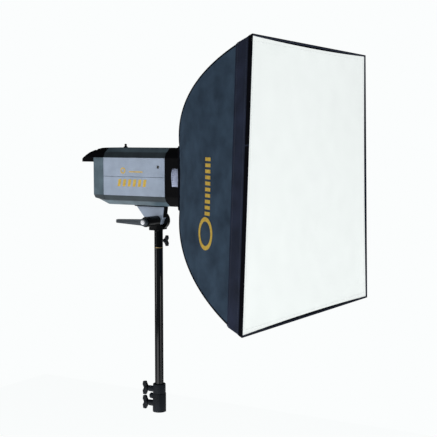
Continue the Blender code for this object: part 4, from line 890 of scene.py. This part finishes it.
def make_lever_cap():
    """The domed cap of the lever: a quarter ellipse turned about the tilt axis."""
    low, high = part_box("lever_cap")
    radius, depth = (high.z - low.z) / 2, high.y - low.y
    turn, centre = np.linspace(0, math.pi / 2, 14), (0, high.y, TILT_Z)
    profile = [*zip(depth * np.cos(turn), radius * np.sin(turn)), (0, 0)]
    round_piece("lever_cap_dome", "lever_cap", (0, -1, 0), profile, "white_acetal", 48, False, centre, 0)


def make_column(look):
    """The drawn tube and its trim band, both turned finely enough to keep long clean reflections."""
    low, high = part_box("column_tube")
    radius, bore = (high.x - low.x) / 2, (high.x - low.x) / 2 - look.tube_wall
    round_off = 0.0004
    profile = [
        (low.z, bore), (low.z, radius - round_off), (low.z + round_off, radius), (high.z - round_off, radius),
        (high.z, radius - round_off), (high.z, bore),
    ]
    up, foot = (0, 0, 1), (0, 0, 0)
    round_piece("column_tube_finished", "column_tube", up, profile, "gloss_tube_lacquer", 96, True, foot)
    low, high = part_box("column_band")
    radius, middle = (high.x - low.x) / 2, (low.z + high.z) / 2
    turn = np.linspace(-math.pi / 2, math.pi / 2, 9)
    bead = zip(middle + (high.z - middle) * np.sin(turn), radius - 0.0007 * (1 - np.cos(turn)))
    profile = [(low.z, look.band_bore), *bead, (high.z, look.band_bore)]
    round_piece("column_band_finished", "column_band", up, profile, "polished_brass", 96, True, foot)


def make_lever(look):
    """The lever's moulding with two finger ribs pressed along its arm."""
    eased("tilt_lever", look.edge, "grey_polypropylene")
    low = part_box("tilt_lever")[0]
    face = low.y + 0.0005
    for index, share in enumerate((0.35, 0.65)):
        height = TILT_Z - 0.004 + 0.008 * share
        path = np.linspace((low.x + 0.006, face, TILT_Z + 0.0045 * (share - 0.5)), (-0.014, face, height), 24)
        swept(f"lever_rib_{index}", path, 0.0006, "grey_polypropylene", "tilt_lever", 10)


# ---------------------------------------------------------------- settings

def metres(name, description, default):
    """A setting in metres."""
    return FloatProperty(name=name, description=description, default=default, unit="LENGTH")


def watts(name, description, default):
    """A setting in watts."""
    return FloatProperty(name=name, description=description, default=default, unit="POWER")


def number(name, description, default, least):
    """A whole number of things."""
    return IntProperty(name=name, description=description, default=default, min=least)


def colour(name, description, code):
    """A colour setting, from a hex code."""
    return FloatVectorProperty(
        name=name, description=description, default=linear(code)[:3], subtype="COLOR", min=0, max=1
    )


class ClothLook(bpy.types.PropertyGroup):
    """The softbox's cloth and its marks."""

    dish: metres("Panel dish", "How far a side panel dips between its rods", 0.004)
    folds: metres("Panel folds", "Height of the soft folds in the side panels", 0.0016)
    seam_radius: metres("Seam", "Radius of the corded corner seams", 0.0016)
    edge_bow: metres("Diffuser bow", "How far each edge bows in", 0.004)
    diffuser_dish: metres("Diffuser dish", "How far the diffuser dips in its middle", 0.006)
    diffuser_folds: metres("Diffuser folds", "Height of the diffuser's wrinkles", 0.0012)
    mark_x: metres("Mark place", "Where the marks stand along the light", 0.287)
    ring_z: metres("Ring height", "The ring's middle, from the axis", -0.105)
    ring_shift: metres("Ring shift", "How far the ring stands behind the dashes", 0.006)
    ring_width: metres("Ring width", "Width of the oval ring along the light", 0.056)
    ring_height: metres("Ring length", "Height of the oval ring", 0.070)
    dash_start: metres("First dash", "Lower edge of the first dash, from the axis", -0.066)
    dash_pitch: metres("Dash pitch", "Distance between dashes", 0.0127)
    dash_width: metres("Dash width", "Width of a dash along the light", 0.020)
    dash_count: number("Dashes", "Number of dashes in the column", 10, 1)
    cloth_dark: colour("Cloth shade", "Darker thread of the side panels", "1D2A39")
    cloth_light: colour("Cloth light", "Lighter thread of the side panels", "3C4F62")


class HeadLook(bpy.types.PropertyGroup):
    """The head, its bracket and the column."""

    edge: metres("Edge round", "Round on the edges of castings and mouldings", 0.0008)
    fine_edge: metres("Fine edge round", "Round on plates and small parts", 0.0003)
    ring_bore: metres("Lock ring bore", "Inner radius of the lock ring", 0.050)
    ring_flutes: number("Lock ring flutes", "Grip flutes round the lock ring", 72, 3)
    dial_height: metres("Dial height", "How far the dial stands off the panel", 0.015)
    tick_count: number("Dial ticks", "Ticks round the dial", 11, 2)
    tube_wall: metres("Tube wall", "Wall of the column tube", 0.0013)
    band_bore: metres("Band bore", "Inner radius of the trim band", 0.0082)
    ink: metres("Ink", "Thickness of the printed marks", 0.00015)
    badge_x: metres("Badge place", "Middle of the small ring along the head", -0.0664)
    badge_z: metres("Badge height", "Middle of the small ring, from the axis", 0.0148)
    badge_radius: metres("Badge radius", "Outer radius of the small ring", 0.0075)
    line_x: metres("Line place", "Rear end of the thin line", -0.048)
    bar_x: metres("Bars place", "Rear end of the row of bars", -0.083)
    bar_z: metres("Bars height", "Middle of the bars, from the axis", -0.0148)
    bar_pitch: metres("Bar pitch", "Distance between bars", 0.0150)
    bar_height: metres("Bar length", "Height of a bar", 0.0175)
    bar_count: number("Bars", "Number of bars", 6, 1)


class StageLook(bpy.types.PropertyGroup):
    """The floor, the lights and the camera."""

    floor_z: metres("Floor", "Height of the floor", -0.9)
    key_power: watts("Key light", "Power of the large light behind the camera", 17.0)
    strip_power: watts("Strip light", "Power of the tall light beside the camera", 11.0)
    fill_power: watts("Fill light", "Power of the light on the far side", 10.0)
    under_power: watts("Floor bounce", "Power of the light from below", 9.0)
    ambient: FloatProperty(name="Ambient", description="Strength of the room's light", default=0.13)
    backdrop: colour("Backdrop", "Colour behind the object", "FBFDFD")


def cloth_look():
    """The settings of the softbox."""
    return bpy.context.scene.strobe_cloth


def head_look():
    """The settings of the head, its bracket and the column."""
    return bpy.context.scene.strobe_head


# ---------------------------------------------------------------- operators

FLOOR_HALF = 3.0
CAMERA_LENS = 82.0
CAMERA_PLACE, CAMERA_TURN = (1.3865, -2.0061, 0.6814), (85.3, 0.0, 31.19)


class MakeFinishes(bpy.types.Operator):
    """Makes every finish, and gives the inner nodes that keep their own mesh theirs"""

    bl_idname = "strobe.finishes"
    bl_label = "Finishes"

    def execute(self, context):
        FINISH.update(make_materials(cloth_look()))
        kept = {
            "shrink_sleeve": ("capacitor_right", "capacitor_left"), "solder_mask": ("power_board",),
            "clear_glass": ("flash_tube", "modelling_lamp"), "glazed_ceramic": ("lamp_holder",),
            "tumbled_aluminium": ("reflector_bulkhead",), "zinc_plate": ("column_spigot", "potentiometer"),
        }
        for finish, nodes in kept.items():
            for node in nodes:
                data = frame["nodes"][node].data
                data.materials.clear()
                data.materials.append(FINISH[finish])
        return {"FINISHED"}


class MakeSoftboxCloth(bpy.types.Operator):
    """Makes the four side panels, the corded seams between them, the rear skirt and the printed marks"""

    bl_idname = "strobe.softbox_cloth"
    bl_label = "Softbox cloth"

    def execute(self, context):
        look = cloth_look()
        seams = make_seams(look)
        marks = make_cloth_marks(look)
        for seed, (name, direction) in enumerate(SIDES.items(), FIRST_SEED):
            panel, flat, area = make_side(name, direction, look, seed)
        make_skirt()
        return {"FINISHED"}


class MakeSoftboxFront(bpy.types.Operator):
    """Makes the stiffened lip with its tape and stitches, and the white diffuser in it"""

    bl_idname = "strobe.softbox_front"
    bl_label = "Softbox lip and diffuser"

    def execute(self, context):
        make_lip()
        make_diffuser(cloth_look())
        return {"FINISHED"}


class MakeSoftboxFrame(bpy.types.Operator):
    """Makes the four bent rods and the cast speed ring that holds them"""

    bl_idname = "strobe.softbox_frame"
    bl_label = "Rods and speed ring"

    def execute(self, context):
        for name, (side, level) in CORNERS.items():
            node = "rod_" + name
            path = rod_path(side, level)
            replace(swept(node + "_finished", path, ROD_RADIUS, "zinc_plate", "softbox", 16), node)
        eased("speed_ring", head_look().edge, "tumbled_aluminium")
        return {"FINISHED"}


class MakeCase(bpy.types.Operator):
    """Makes the two case shells, the rear cover, the silver side panels and the marks on them"""

    bl_idname = "strobe.case"
    bl_label = "Case and side panels"

    def execute(self, context):
        look = head_look()
        for node in ("casing_upper", "casing_lower", "rear_cover"):
            eased(node, look.edge, "slate_powder_paint", merge=node != "rear_cover")
        for side in ("right", "left"):
            for level in ("upper", "lower"):
                eased(f"side_panel_{side}_{level}", look.fine_edge, "silver_lacquer")
        make_head_marks(look)
        return {"FINISHED"}


class MakeMouldings(bpy.types.Operator):
    """Makes the carry handle, the front bezel with its cover plate, and the lock ring between them"""

    bl_idname = "strobe.mouldings"
    bl_label = "Handle, bezel and lock ring"

    def execute(self, context):
        look = head_look()
        for node in ("rear_handle", "front_bezel", "bezel_cover_plate"):
            eased(node, look.edge, "moulded_black_abs")
        make_lock_ring(look)
        return {"FINISHED"}


class MakeControls(bpy.types.Operator):
    """Makes the control panel with its dial, buttons, rocker, sockets and lamp"""

    bl_idname = "strobe.controls"
    bl_label = "Rear controls"

    def execute(self, context):
        look = head_look()
        finishes = {
            "control_panel": "panel_film", "mains_inlet": "moulded_black_abs",
            "switch_housing": "moulded_black_abs", "mains_rocker": "polished_red_abs",
            "fuse_cap": "moulded_black_abs", "sync_socket": "zinc_plate",
        }
        for node, finish in finishes.items():
            eased(node, look.fine_edge, finish)
        make_dial(look)
        make_buttons()
        make_small_rounds()
        return {"FINISHED"}


class MakeBracket(bpy.types.Operator):
    """Makes the tilt bracket: pad, lug with a black strip of painted shade on its front edge, yoke, bolt and
    nut, and the clamping lever
    """

    bl_idname = "strobe.bracket"
    bl_label = "Tilt bracket"

    def execute(self, context):
        look = head_look()
        # The lug's edge guard is painted shade: a black strip that stands in for the lug's front face, which
        # lies in the softbox's shadow and mirrors its black cloth.
        finishes = {
            "bracket_pad": "moulded_black_abs", "tilt_lug": "silver_lacquer",
            "lug_edge_guard": "moulded_black_abs", "tilt_yoke": "black_casting_enamel",
            "tilt_bolt": "zinc_plate", "tilt_nut": "zinc_plate",
        }
        for node, finish in finishes.items():
            eased(node, look.fine_edge if node in ("tilt_bolt", "tilt_nut") else look.edge, finish)
        make_lever(look)
        make_lever_cap()
        return {"FINISHED"}


class MakeColumn(bpy.types.Operator):
    """Makes the column tube with its trim band, the clamp coupler and the wing screws"""

    bl_idname = "strobe.column"
    bl_label = "Column and coupler"

    def execute(self, context):
        look = head_look()
        make_column(look)
        for node in ("clamp_coupler", "upper_knob", "lower_knob", "socket_screw"):
            eased(node, look.edge, "filled_nylon", merge=node != "clamp_coupler")
        eased("coupler_screw", look.fine_edge, "zinc_plate")
        return {"FINISHED"}


class MakeStage(bpy.types.Operator):
    """Makes the pale floor, the soft lights, the room's light and the camera"""

    bl_idname = "strobe.stage"
    bl_label = "Stage"

    def execute(self, context):
        look = context.scene.strobe_stage
        square = np.array([(-1, -1, 0), (1, -1, 0), (1, 1, 0), (-1, 1, 0)])
        corners = square * FLOOR_HALF + np.array([0, 0, look.floor_z])
        mesh = bpy.data.meshes.new("floor")
        mesh.from_pydata(corners, [], [[0, 1, 2, 3]])
        floor = bpy.data.objects.new("floor", mesh)
        context.scene.collection.objects.link(floor)
        pale = new_material(
            "pale_floor", Base_Color=linear("B4B6B6"), Roughness=0.9, Emission_Color=(*look.backdrop, 1.0),
            Emission_Strength=0.91, Specular_IOR_Level=0.0,
        )[0]
        mesh.materials.append(pale)
        for name, place, target, size, power in (
            ("key_light", (-0.9, -3.0, 1.4), (0.0, 0.0, 0.5), (1.6, 1.6), look.key_power),
            ("strip_light", (-1.95, -2.25, 0.6), (0.0, 0.0, 0.6), (0.8, 1.7), look.strip_power),
            ("fill_light", (2.6, -0.3, 0.45), (0.0, 0.0, 0.45), (0.6, 2.4), look.fill_power),
            ("floor_bounce", (-0.1, -0.9, -0.55), (0.0, 0.0, 0.55), (1.4, 1.4), look.under_power),
        ):
            lamp = bpy.data.lights.new(name, "AREA")
            lamp.shape, lamp.size, lamp.size_y, lamp.energy = "RECTANGLE", *size, power
            stand = bpy.data.objects.new(name, lamp)
            stand.location = place
            stand.rotation_euler = (Vector(target) - Vector(place)).to_track_quat("-Z", "Y").to_euler()
            context.scene.collection.objects.link(stand)
        self.light_room(context.scene, look)
        camera = bpy.data.cameras.new("camera")
        camera.lens, camera.sensor_width, camera.clip_end = CAMERA_LENS, 36.0, 60.0
        view = bpy.data.objects.new("camera", camera)
        view.location = CAMERA_PLACE
        view.rotation_euler = [math.radians(angle) for angle in CAMERA_TURN]
        context.scene.collection.objects.link(view)
        context.scene.camera = view
        context.scene.view_settings.view_transform = "Standard"
        return {"FINISHED"}

    def light_room(self, scene, look):
        """A white room that the camera sees at full strength, and that lights the object more weakly."""
        room = bpy.data.worlds.new("room")
        scene.world = room
        room.use_nodes = True
        tree = room.node_tree
        seen = add(tree, "ShaderNodeLightPath").outputs["Is Camera Ray"]
        strength = add(tree, "ShaderNodeMapRange", {"Value": seen, "To Min": look.ambient, "To Max": 1.0})
        shine = tree.nodes["Background"]
        shine.inputs["Color"].default_value = (*look.backdrop, 1.0)
        tree.links.new(strength.outputs[0], shine.inputs["Strength"])


OPERATORS = (
    MakeFinishes, MakeSoftboxCloth, MakeSoftboxFront, MakeSoftboxFrame, MakeCase, MakeMouldings, MakeControls,
    MakeBracket, MakeColumn, MakeStage,
)


class StrobePanel(bpy.types.Panel):
    """Lists the strobe's pieces and their settings"""

    bl_idname = "VIEW3D_PT_strobe"
    bl_label = "Monolight strobe"
    bl_space_type = "VIEW_3D"
    bl_region_type = "UI"
    bl_category = "Monolight"

    def draw(self, context):
        for operator in OPERATORS:
            self.layout.operator(operator.bl_idname)
        for group in (context.scene.strobe_cloth, context.scene.strobe_head, context.scene.strobe_stage):
            box = self.layout.box()
            for name in group.bl_rna.properties.keys():
                if name not in ("rna_type", "name"):
                    box.prop(group, name)


CLASSES = (ClothLook, HeadLook, StageLook, *OPERATORS, StrobePanel)


def register():
    for made in CLASSES:
        bpy.utils.register_class(made)
    bpy.types.Scene.strobe_cloth = PointerProperty(type=ClothLook)
    bpy.types.Scene.strobe_head = PointerProperty(type=HeadLook)
    bpy.types.Scene.strobe_stage = PointerProperty(type=StageLook)


def unregister():
    for name in ("strobe_cloth", "strobe_head", "strobe_stage"):
        delattr(bpy.types.Scene, name)
    for made in reversed(CLASSES):
        bpy.utils.unregister_class(made)


def main():
    """Registers the add-on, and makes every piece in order."""
    register()
    for operator in OPERATORS:
        group, name = operator.bl_idname.split(".")
        getattr(getattr(bpy.ops, group), name)()


if __name__ == "__main__":
    main()
